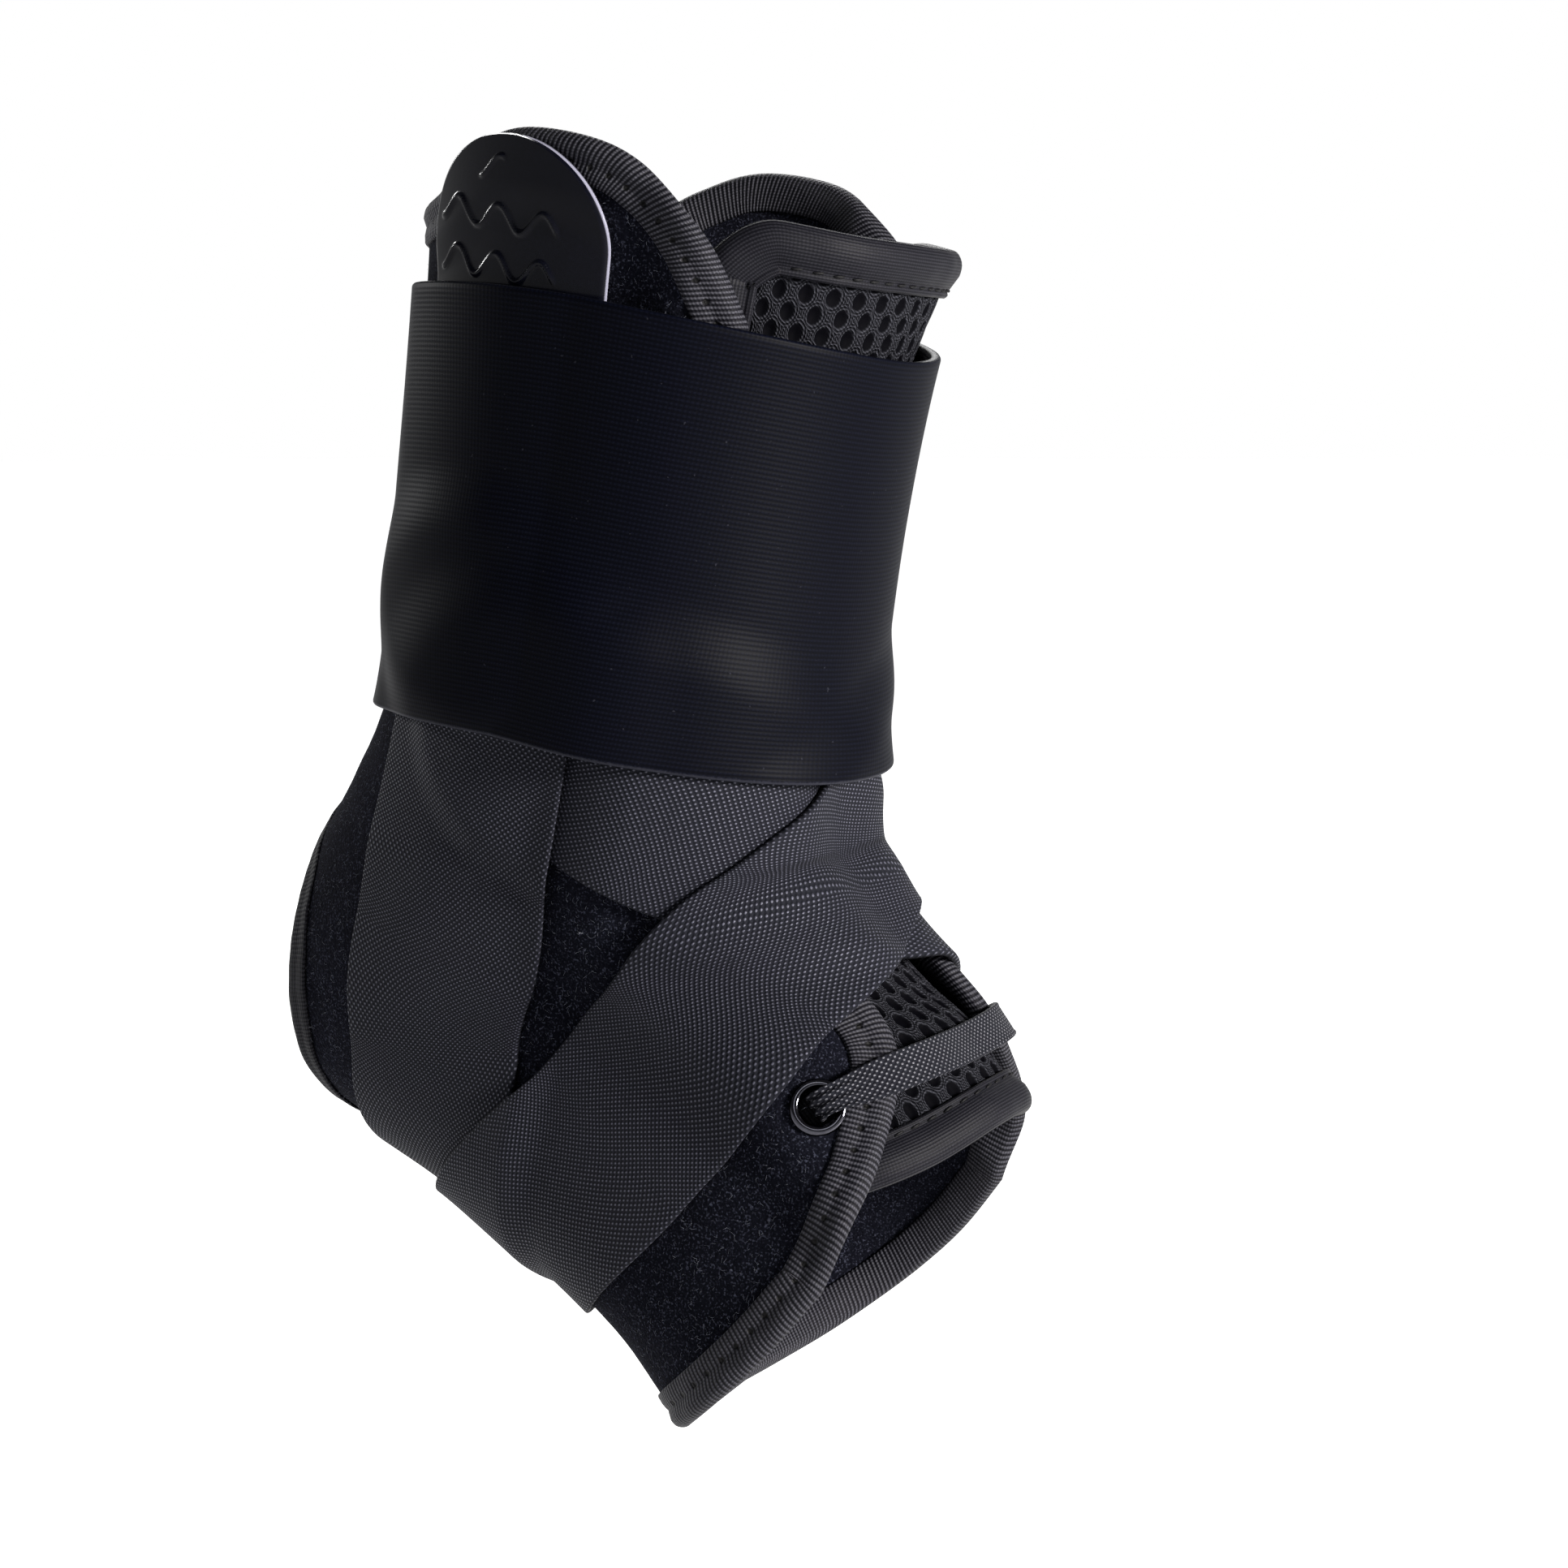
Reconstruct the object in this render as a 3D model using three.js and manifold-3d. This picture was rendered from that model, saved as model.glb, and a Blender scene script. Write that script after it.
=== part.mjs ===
// Ankle brace in its worn form: a plush shell with side stays, a mesh tongue, two webbing straps
// in a figure eight and a wide elastic cuff. Millimetres, +X to the toes, +Z up, -Y the outer side.
// The origin is the middle of the ankle.

import * as THREE from 'three';
import { mergeVertices } from 'three/addons/utils/BufferGeometryUtils.js';
import Module from 'manifold-3d';

// The leg and foot that the brace is shaped to
const LEG_LEAN = 6.8; // degrees, forwards
const FOOT_PITCH = 33; // degrees, toes down
const LEG_RISE = 150;
const FOOT_RUN = 85;
const LEG_DEPTH = 92;
const LEG_WIDTH = 78;
const HEEL_DEPTH = 1.478 * LEG_DEPTH;
const HEEL_WIDTH = 68;
const FOOT_HEIGHT = 75;
const FOOT_WIDTH = 80;

// Walls of the layers, and the room between them
const TONGUE_WALL = 1.8;
const SHELL_WALL = 2.0;
const STRAP_WALL = 1.2;
const CUFF_WALL = 1.5;
const STAY_WALL = 1.8;
const TAPE_WALL = 0.5;
const SEAT_GAP = 0.35; // between pieces that are sewn or riveted together
const UNDER_GAP = 0.8; // between a sheet and the tape under it
const BENT_UNDER_GAP = 1.1; // the same at the tight bends of the heel and the tongue
const LAYER_GAP = 0.85; // between layers that lie on each other

// Widths of what is cut to a width
const TAPE_WIDTH = 6;
const HEEL_TAPE_WIDTH = 5;
const STRAP_WIDTH = 40;
const CUFF_WIDTH = 82;
const CUFF_LAP = 44;
const STAY_WIDTH = 37;
const LACE_WIDTH = 10;
const LACE_WALL = 1.4;

// Metal eyelets for the lace
const EYELET_HOLE = 6.8;
const EYELET_RIM = 10.6;
const EYELET_WALL = 0.5;
const LACE_IN_EYELET = 5.2; // width of the lace where it is gathered in the eyelet

// Length over which a layer climbs on to the one below it
const STEP_RUN = 8;
const CUFF_STEP_RUN = 14;
const STEP_ROOM = 1.9; // flat room beside a piece before the layer over it steps down
const STRAP_STEP_ROOM = 1.5;

// Heights of the layers over the leg and foot
const INNER_LOW = SEAT_GAP + TAPE_WALL + UNDER_GAP;
const TONGUE_TOP = INNER_LOW + TONGUE_WALL;
const TAPE_PROUD = SEAT_GAP + TAPE_WALL;
const SHELL_TOP = INNER_LOW + SHELL_WALL;
const SHELL_LIFT = TONGUE_TOP + TAPE_PROUD + LAYER_GAP + TAPE_WALL + UNDER_GAP - INNER_LOW;

// Sections of the leg and foot, from the top of the leg to the ball of the foot. rise and run are
// shares of LEG_RISE and FOOT_RUN, turn is the section's tilt in degrees, depth and width are
// shares of the sizes that the section follows, egg widens the back, square makes it boxier.
const SECTIONS = [
  { follows: 'leg', rise: 1.028, run: 0.019, turn: -7.5, depth: 1.045, width: 1.115, egg: 0.0, square: 2.1, front: 2.1 },
  { follows: 'leg', rise: 0.827, run: -0.019, turn: -6.8, depth: 0.933, width: 1.026, egg: 0.0, square: 2.1, front: 2.1 },
  { follows: 'leg', rise: 0.558, run: -0.050, turn: -6.8, depth: 0.894, width: 0.974, egg: 0.0, square: 2.1, front: 2.1 },
  { follows: 'leg', rise: 0.261, run: -0.072, turn: -4.5, depth: 0.916, width: 0.936, egg: 0.0, square: 2.1, front: 2.2 },
  { follows: 'heel', rise: 0.043, run: -0.159, turn: 2.5, depth: 0.759, width: 1.074, egg: 0.0, square: 2.1, front: 2.3 },
  { follows: 'heel', rise: -0.088, run: -0.197, turn: 8.5, depth: 0.940, width: 1.015, egg: 0.0, square: 2.1, front: 2.4 },
  { follows: 'heel', rise: -0.138, run: -0.116, turn: 12.0, depth: 0.959, width: 0.971, egg: 0.0, square: 2.3, front: 2.4 },
  { follows: 'heel', rise: -0.139, run: 0.081, turn: 15.5, depth: 0.866, width: 0.971, egg: 0.02, square: 2.6, front: 2.4 },
  { follows: 'foot', rise: -0.122, run: 0.346, turn: 22.0, depth: 1.304, width: 0.875, egg: 0.06, square: 2.8, front: 2.3 },
  { follows: 'foot', rise: -0.134, run: 0.662, turn: 35.3, depth: 1.040, width: 0.950, egg: 0.1, square: 2.9, front: 2.2 },
  { follows: 'foot', rise: -0.169, run: 0.911, turn: 46.0, depth: 1.013, width: 1.025, egg: 0.12, square: 2.9, front: 2.2 },
];

// Lines drawn on the form. at is the section number, round is the way round in half turns from
// the back and sole (0) to the front (1). Each is half a line; the other half is its mirror.
const TOP_EDGE = [
  { at: 0.74, round: 0 },
  { at: 0.71, round: 0.14 },
  { at: 0.62, round: 0.28 },
  { at: 0.4, round: 0.355 },
  { at: 0.22, round: 0.42 },
  { at: 0.18, round: 0.48 },
  { at: 0.24, round: 0.555 },
  { at: 0.4, round: 0.615 },
  { at: 0.7, round: 0.69 },
  { at: 1.1, round: 0.75 },
];
const FRONT_EDGE = [
  { at: 1.1, round: 0.75 },
  { at: 1.8, round: 0.785 },
  { at: 2.7, round: 0.8 },
  { at: 3.7, round: 0.815 },
  { at: 5.2, round: 0.835 },
  { at: 6.5, round: 0.85 },
  { at: 7.6, round: 0.858 },
  { at: 8.25, round: 0.844 },
  { at: 8.68, round: 0.808 },
  { at: 9.16, round: 0.744 },
  { at: 9.46, round: 0.675 },
  { at: 9.72, round: 0.59 },
];
const TOE_EDGE = [
  { at: 9.7, round: 0 },
  { at: 9.73, round: 0.12 },
  { at: 9.78, round: 0.236 },
  { at: 9.83, round: 0.36 },
  { at: 9.82, round: 0.47 },
  { at: 9.72, round: 0.59 },
];
const HEEL_HOLE_EDGE = [
  { at: 3.75, round: 0 },
  { at: 3.86, round: 0.1 },
  { at: 4.18, round: 0.2 },
  { at: 4.68, round: 0.262 },
  { at: 5.15, round: 0.278 },
  { at: 5.75, round: 0.264 },
  { at: 6.36, round: 0.217 },
  { at: 6.78, round: 0.15 },
  { at: 7.0, round: 0.075 },
  { at: 7.08, round: 0 },
];

// The second strap, from its start beside the shin, over the instep, down the outer side, under
// the sole and up the inner side. round is negative on the outer side. The first is its mirror.
const STRAP_ROUTE = [
  { at: 2.99, round: 0.565 },
  { at: 3.11, round: 0.638 },
  { at: 3.41, round: 0.774 },
  { at: 3.93, round: 0.911 },
  { at: 4.75, round: 1.060 },
  { at: 6.07, round: 1.216 },
  { at: 7.25, round: 1.343 },
  { at: 7.96, round: 1.490 },
  { at: 8.27, round: 1.651 },
  { at: 8.37, round: 1.807 },
  { at: 8.27, round: 1.954 },
  { at: 8.08, round: 2.110 },
  { at: 7.59, round: 2.274 },
  { at: 6.45, round: 2.428 },
  { at: 4.93, round: 2.498 },
  { at: 3.87, round: 2.490 },
  { at: 3.17, round: 2.465 },
  { at: 2.65, round: 2.455 },
];
const STRAP_START_SHARE = 0.2; // share of the route that lies beside the shin at its start
const STRAP_END_SHARE = 0.25; // share of the route that runs up the side at its end

// Where the other pieces lie on the form
const CUFF_LEVEL = { at: 2.125, sway: 0.06 };
const CUFF_START = 0.45;
const CUFF_CLIMB = { from: 1.82, to: 1.96 }; // half turns at which it climbs over its own start
const STAY_ROUTE = [
  { at: 0.2, round: 0.456 },
  { at: 1.1, round: 0.453 },
  { at: 2.0, round: 0.461 },
  { at: 2.45, round: 0.466 },
];
const STAY_TIP = 0.15; // share of the half width that the stay's round top starts with
const TONGUE_SPREAD = 0.3; // half width in half turns
const TONGUE_TOP_LEVEL = 0.57;
const TONGUE_END_LEVEL = 9.44;
const TONGUE_CORNER = { from: 0.75, drop: 0.25, end_rise: 0.2 };
const TONGUE_SWELL = 3; // how far it stands up between the shell's edges at the instep
const EYELET_PLACE = { at: 8.48, round: 0.727 };

// The lace from the middle of an eyelet outwards: side is the way along the form towards the
// front, up is the height over the eyelet's seat, both as shares of the lace's width
const LACE_BEND = [
  { side: 0.0, up: -0.16 },
  { side: 0.0, up: 0.02 },
  { side: 0.11, up: 0.175 },
  { side: 0.32, up: 0.235 },
  { side: 0.62, up: 0.215 },
];
const LACE_FAN = { from: 0.2, to: 1.6 }; // where it spreads to its full width, in the same shares
const LACE_MIDDLE_DROP = 3.4;

// Room under the shell where it is lifted over the tongue, in half turns
const LIFT_FROM = 0.6;
const LIFT_TO = 0.69;
const SINK_FROM = 0.88; // where the straps start to sink between the shell's front edges
const SINK_SHARE = 0.65; // how far they sink towards the tongue
const CUFF_LIFT_FROM = 0.42; // where the stiffer cuff starts to rise towards the shell's front edges

// Facets
const SHELL_ROWS = [8, 14, 8];
const SHELL_COLUMNS = 13;
const TONGUE_ROWS = 16;
const TONGUE_COLUMNS = 10;
const STRAP_STEPS = 40;
const STRAP_CELLS = 6;
const CUFF_STEPS = 33;
const CUFF_CELLS = 8;
const STAY_STEPS = 12;
const STAY_CELLS = 5;
const EYELET_SIDES = 12;
const LACE_STEPS = 14;

const COLOURS = {
  shell: { color: 0x0c0c11, roughness: 0.95, metalness: 0 },
  tape: { color: 0x1b1b1f, roughness: 0.85, metalness: 0 },
  tongue: { color: 0x101013, roughness: 0.9, metalness: 0 },
  webbing: { color: 0x16161a, roughness: 0.75, metalness: 0 },
  elastic: { color: 0x0b0b12, roughness: 0.8, metalness: 0 },
  stay: { color: 0x09090b, roughness: 0.3, metalness: 0 },
  eyelet: { color: 0x1c1c20, roughness: 0.25, metalness: 0.9 },
};

const wasm = await Module();
wasm.setup();

const radians = (degrees) => THREE.MathUtils.degToRad(degrees);
const smooth = (x, from, to) => THREE.MathUtils.smoothstep(x, from, to);
const frontness = (round) => {
  const turns = Math.abs(((round % 2) + 2) % 2);
  return turns > 1 ? 2 - turns : turns;
};

// A value between a table's rows, on a curve through them
function between(rows, place, read) {
  const last = rows.length - 1;
  const index = Math.min(Math.max(Math.floor(place), 0), last - 1);
  const t = place - index;
  const p0 = read(rows[Math.max(index - 1, 0)]);
  const p1 = read(rows[index]);
  const p2 = read(rows[index + 1]);
  const p3 = read(rows[Math.min(index + 2, last)]);
  const bend = 2 * p0 - 5 * p1 + 4 * p2 - p3;
  const twist = 3 * p1 - p0 - 3 * p2 + p3;
  return 0.5 * (2 * p1 + (p2 - p0) * t + bend * t * t + twist * t * t * t);
}

// The sections in millimetres
const FOLLOWED = {
  leg: { depth: LEG_DEPTH, width: LEG_WIDTH },
  heel: { depth: HEEL_DEPTH, width: HEEL_WIDTH },
  foot: { depth: FOOT_HEIGHT, width: FOOT_WIDTH },
};
const FORM = SECTIONS.map((row) => {
  const up = row.rise * LEG_RISE;
  const along = row.run * FOOT_RUN;
  const sizes = FOLLOWED[row.follows];
  return {
    x: up * Math.sin(radians(LEG_LEAN)) + along * Math.cos(radians(FOOT_PITCH)),
    z: up * Math.cos(radians(LEG_LEAN)) - along * Math.sin(radians(FOOT_PITCH)),
    turn: radians(row.turn),
    depth: (row.depth * sizes.depth) / 2,
    width: (row.width * sizes.width) / 2,
    egg: row.egg,
    square: row.square,
    front: row.front,
  };
});

// A point of the form's own surface
function onForm(at, round) {
  const read = (key) => between(FORM, at, (row) => row[key]);
  const angle = Math.PI * round;
  const c = Math.cos(angle);
  const s = Math.sin(angle);
  const power = read('front') + ((read('square') - read('front')) * (1 + c)) / 2;
  const reach = (Math.abs(c) ** power + Math.abs(s) ** power) ** (-1 / power);
  const forwards = -read('depth') * reach * c;
  const sideways = read('width') * reach * s * (1 + read('egg') * c);
  const turn = read('turn');
  return new THREE.Vector3(
    read('x') + forwards * Math.cos(turn),
    sideways,
    read('z') + forwards * Math.sin(turn),
  );
}

// The form's directions at a point: along the sections, round them, and outwards
function directions(at, round) {
  const e = 1e-3;
  const along = onForm(at + e, round).sub(onForm(at - e, round)).divideScalar(2 * e);
  const around = onForm(at, round + e).sub(onForm(at, round - e)).divideScalar(2 * e);
  const out = new THREE.Vector3().crossVectors(around, along).normalize();
  return { along, around, out };
}

// A point at a height over the form
function over(at, round, height) {
  return onForm(at, round).addScaledVector(directions(at, round).out, height);
}

// The place reached by going a distance over the form from a place in a direction
function walk(start, heading, distance) {
  const steps = Math.max(1, Math.ceil(Math.abs(distance) / 4));
  const stride = distance / steps;
  let place = { at: start.at, round: start.round };
  const way = heading.clone();
  for (let i = 0; i < steps; i += 1) {
    const { along, around, out } = directions(place.at, place.round);
    way.addScaledVector(out, -way.dot(out)).normalize();
    const aa = along.dot(along);
    const ab = along.dot(around);
    const bb = around.dot(around);
    const det = aa * bb - ab * ab;
    const wa = way.dot(along) * stride;
    const wb = way.dot(around) * stride;
    place = {
      at: place.at + (wa * bb - wb * ab) / det,
      round: place.round + (wb * aa - wa * ab) / det,
    };
  }
  return place;
}

// A smooth line through a table's places; share runs from 0 to 1
const lineThrough = (rows) => (share) => ({
  at: between(rows, share * (rows.length - 1), (row) => row.at),
  round: between(rows, share * (rows.length - 1), (row) => row.round),
});
const mirrored = (rows) => rows.map(({ at, round }) => ({ at, round: -round }));

// Heights of the shell, lifted where the tongue lies under it
const shellLift = (place) => SHELL_LIFT * smooth(frontness(place.round), LIFT_FROM, LIFT_TO);
const shellLow = (place) => INNER_LOW + shellLift(place);
const shellHigh = (place) => SHELL_TOP + shellLift(place);
const tongueRise = ({ at, round }) => TONGUE_SWELL
  * smooth(frontness(round), 0.82, 0.98)
  * smooth(at, 7.4, 8.6);
const tongueLow = (place) => INNER_LOW + tongueRise(place);
const tongueHigh = (place) => TONGUE_TOP + tongueRise(place);

// Places along a line, closer together where the form bends more
const BEND_LENGTH = 55; // a turn of one radian counts as this much length
const CLIMB_WEIGHT = 6; // so does a climb of one millimetre
function placesAlong(line, count) {
  const fine = 160;
  const reached = [0];
  let last = line(0);
  for (let i = 1; i <= fine; i += 1) {
    const next = line(i / fine);
    const length = onForm(next.at, next.round).distanceTo(onForm(last.at, last.round));
    const bend = directions(next.at, next.round).out.angleTo(directions(last.at, last.round).out);
    const climb = Math.abs(shellLift(next) - shellLift(last));
    reached.push(reached[i - 1] + length + BEND_LENGTH * bend + CLIMB_WEIGHT * climb);
    last = next;
  }
  const places = [];
  for (let i = 0; i <= count; i += 1) {
    const goal = (reached[fine] * i) / count;
    let k = 1;
    while (k < fine && reached[k] < goal) {
      k += 1;
    }
    const part = (goal - reached[k - 1]) / (reached[k] - reached[k - 1]);
    places.push(line((k - 1 + Math.min(Math.max(part, 0), 1)) / fine));
  }
  return places;
}

// A line as points of the form, for measuring how far a place lies from it
function pointsOf(line, from = 0, to = 1, count = 90) {
  const points = [];
  for (let i = 0; i <= count; i += 1) {
    const place = line(from + ((to - from) * i) / count);
    points.push(onForm(place.at, place.round));
  }
  return points;
}

// 1 within a distance of a line and 0 beyond that and the run of a step
function nearness(points, place, distance, run = STEP_RUN) {
  const p = onForm(place.at, place.round);
  let nearest = Infinity;
  for (const q of points) {
    nearest = Math.min(nearest, p.distanceToSquared(q));
  }
  return 1 - smooth(Math.sqrt(nearest), distance, distance + run);
}

// Turns a surface's faces outwards and gives it a wall between two heights
function thicken(places, faces, low, high) {
  const count = places.length;
  const tops = places.map((place) => over(place.at, place.round, high(place)));
  const bottoms = places.map((place) => over(place.at, place.round, low(place)));
  const turned = faces.map(([a, b, c]) => {
    const ab = tops[b].clone().sub(tops[a]);
    const ac = tops[c].clone().sub(tops[a]);
    const out = directions(places[a].at, places[a].round).out;
    return ab.cross(ac).dot(out) > 0 ? [a, b, c] : [a, c, b];
  });
  const edges = new Set();
  for (const [a, b, c] of turned) {
    edges.add(`${a},${b}`);
    edges.add(`${b},${c}`);
    edges.add(`${c},${a}`);
  }
  const index = [];
  for (const [a, b, c] of turned) {
    index.push(a, b, c, count + a, count + c, count + b);
  }
  for (const edge of edges) {
    const [a, b] = edge.split(',').map(Number);
    if (!edges.has(`${b},${a}`)) {
      index.push(a, count + a, count + b, a, count + b, b);
    }
  }
  return bodyOf([...tops, ...bottoms], index);
}

function bodyOf(points, index) {
  const geometry = new THREE.BufferGeometry();
  geometry.setAttribute('position', new THREE.Float32BufferAttribute(points.flatMap((p) => [p.x, p.y, p.z]), 3));
  geometry.setIndex(index);
  geometry.computeVertexNormals();
  return geometry;
}

// Faces of a grid of rows and columns that are numbered by a function
function gridFaces(rows, columns, numberOf) {
  const faces = [];
  for (let i = 0; i < rows; i += 1) {
    for (let j = 0; j < columns; j += 1) {
      const a = numberOf(i, j);
      const b = numberOf(i, j + 1);
      const c = numberOf(i + 1, j + 1);
      const d = numberOf(i + 1, j);
      faces.push([a, b, c], [a, c, d]);
    }
  }
  return faces;
}

// A body swept through sections, each a ring of points, closed on itself or capped at its ends.
// A closed one starts on the middle plane, and its second half mirrors the facets of the first.
function sweep(sections, closed) {
  const ring = sections[0].length;
  const points = sections.flat();
  const index = [];
  const stretches = closed ? sections.length : sections.length - 1;
  for (let i = 0; i < stretches; i += 1) {
    const next = (i + 1) % sections.length;
    for (let k = 0; k < ring; k += 1) {
      const l = (k + 1) % ring;
      const [a, b, c, d] = [i * ring + k, next * ring + k, next * ring + l, i * ring + l];
      if (closed && i >= sections.length / 2) {
        index.push(a, b, d, b, c, d);
      } else {
        index.push(a, b, c, a, c, d);
      }
    }
  }
  if (!closed) {
    const end = (sections.length - 1) * ring;
    for (let k = 1; k < ring - 1; k += 1) {
      index.push(0, k, k + 1, end, end + k + 1, end + k);
    }
  }
  return facedOut(points, index);
}

function facedOut(points, index) {
  let volume = 0;
  for (let i = 0; i < index.length; i += 3) {
    const [a, b, c] = [points[index[i]], points[index[i + 1]], points[index[i + 2]]];
    volume += a.dot(new THREE.Vector3().crossVectors(b, c));
  }
  if (volume < 0) {
    for (let i = 0; i < index.length; i += 3) {
      [index[i + 1], index[i + 2]] = [index[i + 2], index[i + 1]];
    }
  }
  return bodyOf(points, index);
}

// The shell's two halves as one grid of places. Each row runs from the back to the front edge.
function shellGrid() {
  const [above, beside, below] = SHELL_ROWS;
  const topLine = lineThrough(TOP_EDGE);
  const toeLine = lineThrough(TOE_EDGE);
  const frontLine = lineThrough(FRONT_EDGE);
  const holeLine = lineThrough(HEEL_HOLE_EDGE);
  const straight = (from, to) => (share) => ({ at: from + (to - from) * share, round: 0 });
  const holeTop = HEEL_HOLE_EDGE[0].at;
  const holeEnd = HEEL_HOLE_EDGE[HEEL_HOLE_EDGE.length - 1].at;
  const back = [
    ...placesAlong(straight(TOP_EDGE[0].at, holeTop), above),
    ...placesAlong(holeLine, beside).slice(1),
    ...placesAlong(straight(holeEnd, TOE_EDGE[0].at), below).slice(1),
  ];
  const rows = above + beside + below;
  const front = placesAlong(frontLine, rows);
  const top = placesAlong(topLine, SHELL_COLUMNS);
  const toe = placesAlong(toeLine, SHELL_COLUMNS);
  const corner = { a: top[0], b: top[SHELL_COLUMNS], c: toe[0], d: toe[SHELL_COLUMNS] };
  const blend = (i, j, key) => {
    const u = i / rows;
    const v = j / SHELL_COLUMNS;
    const across = (1 - u) * top[j][key] + u * toe[j][key];
    const down = (1 - v) * back[i][key] + v * front[i][key];
    const corners = (1 - u) * ((1 - v) * corner.a[key] + v * corner.b[key])
      + u * ((1 - v) * corner.c[key] + v * corner.d[key]);
    return across + down - corners;
  };
  const half = [];
  for (let i = 0; i <= rows; i += 1) {
    half.push(top.map((_, j) => ({ at: blend(i, j, 'at'), round: blend(i, j, 'round') })));
  }
  return { half, rows, holeFrom: above, holeTo: above + beside };
}

const SHELL_GRID = shellGrid();

// The shell's rim as a loop of places: over the top, down one front edge, under the sole and back
function shellRim() {
  const { half, rows } = SHELL_GRID;
  const side = [];
  for (let j = 0; j < SHELL_COLUMNS; j += 1) {
    side.push(half[0][j]);
  }
  for (let i = 0; i < rows; i += 1) {
    side.push(half[i][SHELL_COLUMNS]);
  }
  for (let j = SHELL_COLUMNS; j > 0; j -= 1) {
    side.push(half[rows][j]);
  }
  const otherSide = mirrored(side).slice(1).reverse();
  return [...side, half[rows][0], ...otherSide];
}

function heelHoleRim() {
  const { half, holeFrom, holeTo } = SHELL_GRID;
  const side = half.slice(holeFrom, holeTo + 1).map((row) => row[0]);
  return [...side, ...mirrored(side).slice(1, -1).reverse()];
}

function shellSurface() {
  const { half, rows } = SHELL_GRID;
  const places = [];
  const numbers = new Map();
  const numberOf = (place) => {
    const key = `${place.at.toFixed(6)},${place.round.toFixed(6)}`;
    if (!numbers.has(key)) {
      numbers.set(key, places.length);
      places.push(place);
    }
    return numbers.get(key);
  };
  const side = (sign) => (i, j) => {
    const { at, round } = half[i][j];
    return numberOf({ at, round: Math.abs(round) < 1e-9 ? 0 : sign * round });
  };
  const faces = [
    ...gridFaces(rows, SHELL_COLUMNS, side(1)),
    ...gridFaces(rows, SHELL_COLUMNS, side(-1)),
  ];
  return { places, faces };
}

// The tongue as a grid: rows down the leg, columns from one side over the front to the other
function tongueGrid() {
  const grid = [];
  const { from, drop, end_rise: endRise } = TONGUE_CORNER;
  for (let i = 0; i <= TONGUE_ROWS; i += 1) {
    const row = [];
    for (let j = 0; j <= TONGUE_COLUMNS; j += 1) {
      const across = (2 * j) / TONGUE_COLUMNS - 1;
      const top = TONGUE_TOP_LEVEL + drop * Math.max(0, (Math.abs(across) - from) / (1 - from)) ** 2;
      const end = TONGUE_END_LEVEL - endRise * Math.abs(across) ** 3;
      const share = i / TONGUE_ROWS;
      row.push({ at: top + (end - top) * share, round: 1 + across * TONGUE_SPREAD });
    }
    grid.push(row);
  }
  return grid;
}

const TONGUE_GRID = tongueGrid();

function tongueRim() {
  const first = TONGUE_GRID[0];
  const last = TONGUE_GRID[TONGUE_ROWS];
  const right = TONGUE_GRID.map((row) => row[TONGUE_COLUMNS]);
  const left = TONGUE_GRID.map((row) => row[0]);
  const middle = TONGUE_COLUMNS / 2;
  return [
    ...first.slice(middle),
    ...right.slice(1),
    ...last.slice(0, -1).reverse(),
    ...left.slice(1, -1).reverse(),
    ...first.slice(0, middle),
  ];
}

// A binding folded round a rim: a section like a U at each place of the rim, open inwards
function tape(rim, inwards, width, room, low, high) {
  const sections = rim.map((place, i) => {
    const before = rim[(i + rim.length - 1) % rim.length];
    const after = rim[(i + 1) % rim.length];
    const way = onForm(after.at, after.round).sub(onForm(before.at, before.round));
    const { out } = directions(place.at, place.round);
    const into = new THREE.Vector3().crossVectors(out, way).normalize().multiplyScalar(inwards);
    const at = (distance, height) => {
      const reached = walk(place, into, distance);
      return over(reached.at, reached.round, height(reached));
    };
    const upper = (extra) => (reached) => high(reached) + extra;
    const lower = (extra) => (reached) => low(reached) - extra;
    return [
      at(width, upper(TAPE_PROUD)),
      at(-TAPE_PROUD, upper(TAPE_PROUD)),
      at(-TAPE_PROUD, lower(room + TAPE_WALL)),
      at(width, lower(room + TAPE_WALL)),
      at(width, lower(room)),
      at(-SEAT_GAP, lower(room)),
      at(-SEAT_GAP, upper(SEAT_GAP)),
      at(width, upper(SEAT_GAP)),
    ];
  });
  return sweep(sections, true);
}

// A flat band along stations on the form; halfWidth is read by the length from its start
function band(stations, cells, halfWidth, low, wall) {
  const steps = stations.length - 1;
  const places = [];
  let length = 0;
  stations.forEach((middle, i) => {
    const before = stations[Math.max(i - 1, 0)];
    const after = stations[Math.min(i + 1, steps)];
    const way = onForm(after.at, after.round).sub(onForm(before.at, before.round));
    const { out } = directions(middle.at, middle.round);
    const aside = new THREE.Vector3().crossVectors(out, way).normalize();
    length += i > 0 ? onForm(middle.at, middle.round).distanceTo(onForm(before.at, before.round)) : 0;
    for (let j = 0; j <= cells; j += 1) {
      const distance = halfWidth(length) * ((2 * j) / cells - 1);
      places.push({ ...walk(middle, aside, distance), share: i / steps });
    }
  });
  const faces = gridFaces(steps, cells, (i, j) => i * (cells + 1) + j);
  return thicken(places, faces, low, (place) => low(place) + wall);
}

// Lines of the pieces, and the room that each layer leaves for the ones below it
const SECOND_LINE = lineThrough(STRAP_ROUTE);
const FIRST_LINE = lineThrough(mirrored(STRAP_ROUTE));
const HOLE_POINTS = [
  ...pointsOf(lineThrough(HEEL_HOLE_EDGE)),
  ...pointsOf(lineThrough(mirrored(HEEL_HOLE_EDGE))),
];
const TOP_POINTS = [
  ...pointsOf(lineThrough(TOP_EDGE)),
  ...pointsOf(lineThrough(mirrored(TOP_EDGE))),
];
const STAY_LINES = [lineThrough(mirrored(STAY_ROUTE)), lineThrough(STAY_ROUTE)];
const STAY_POINTS = STAY_LINES.map((line) => pointsOf(line, 0, 0.93));

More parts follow.
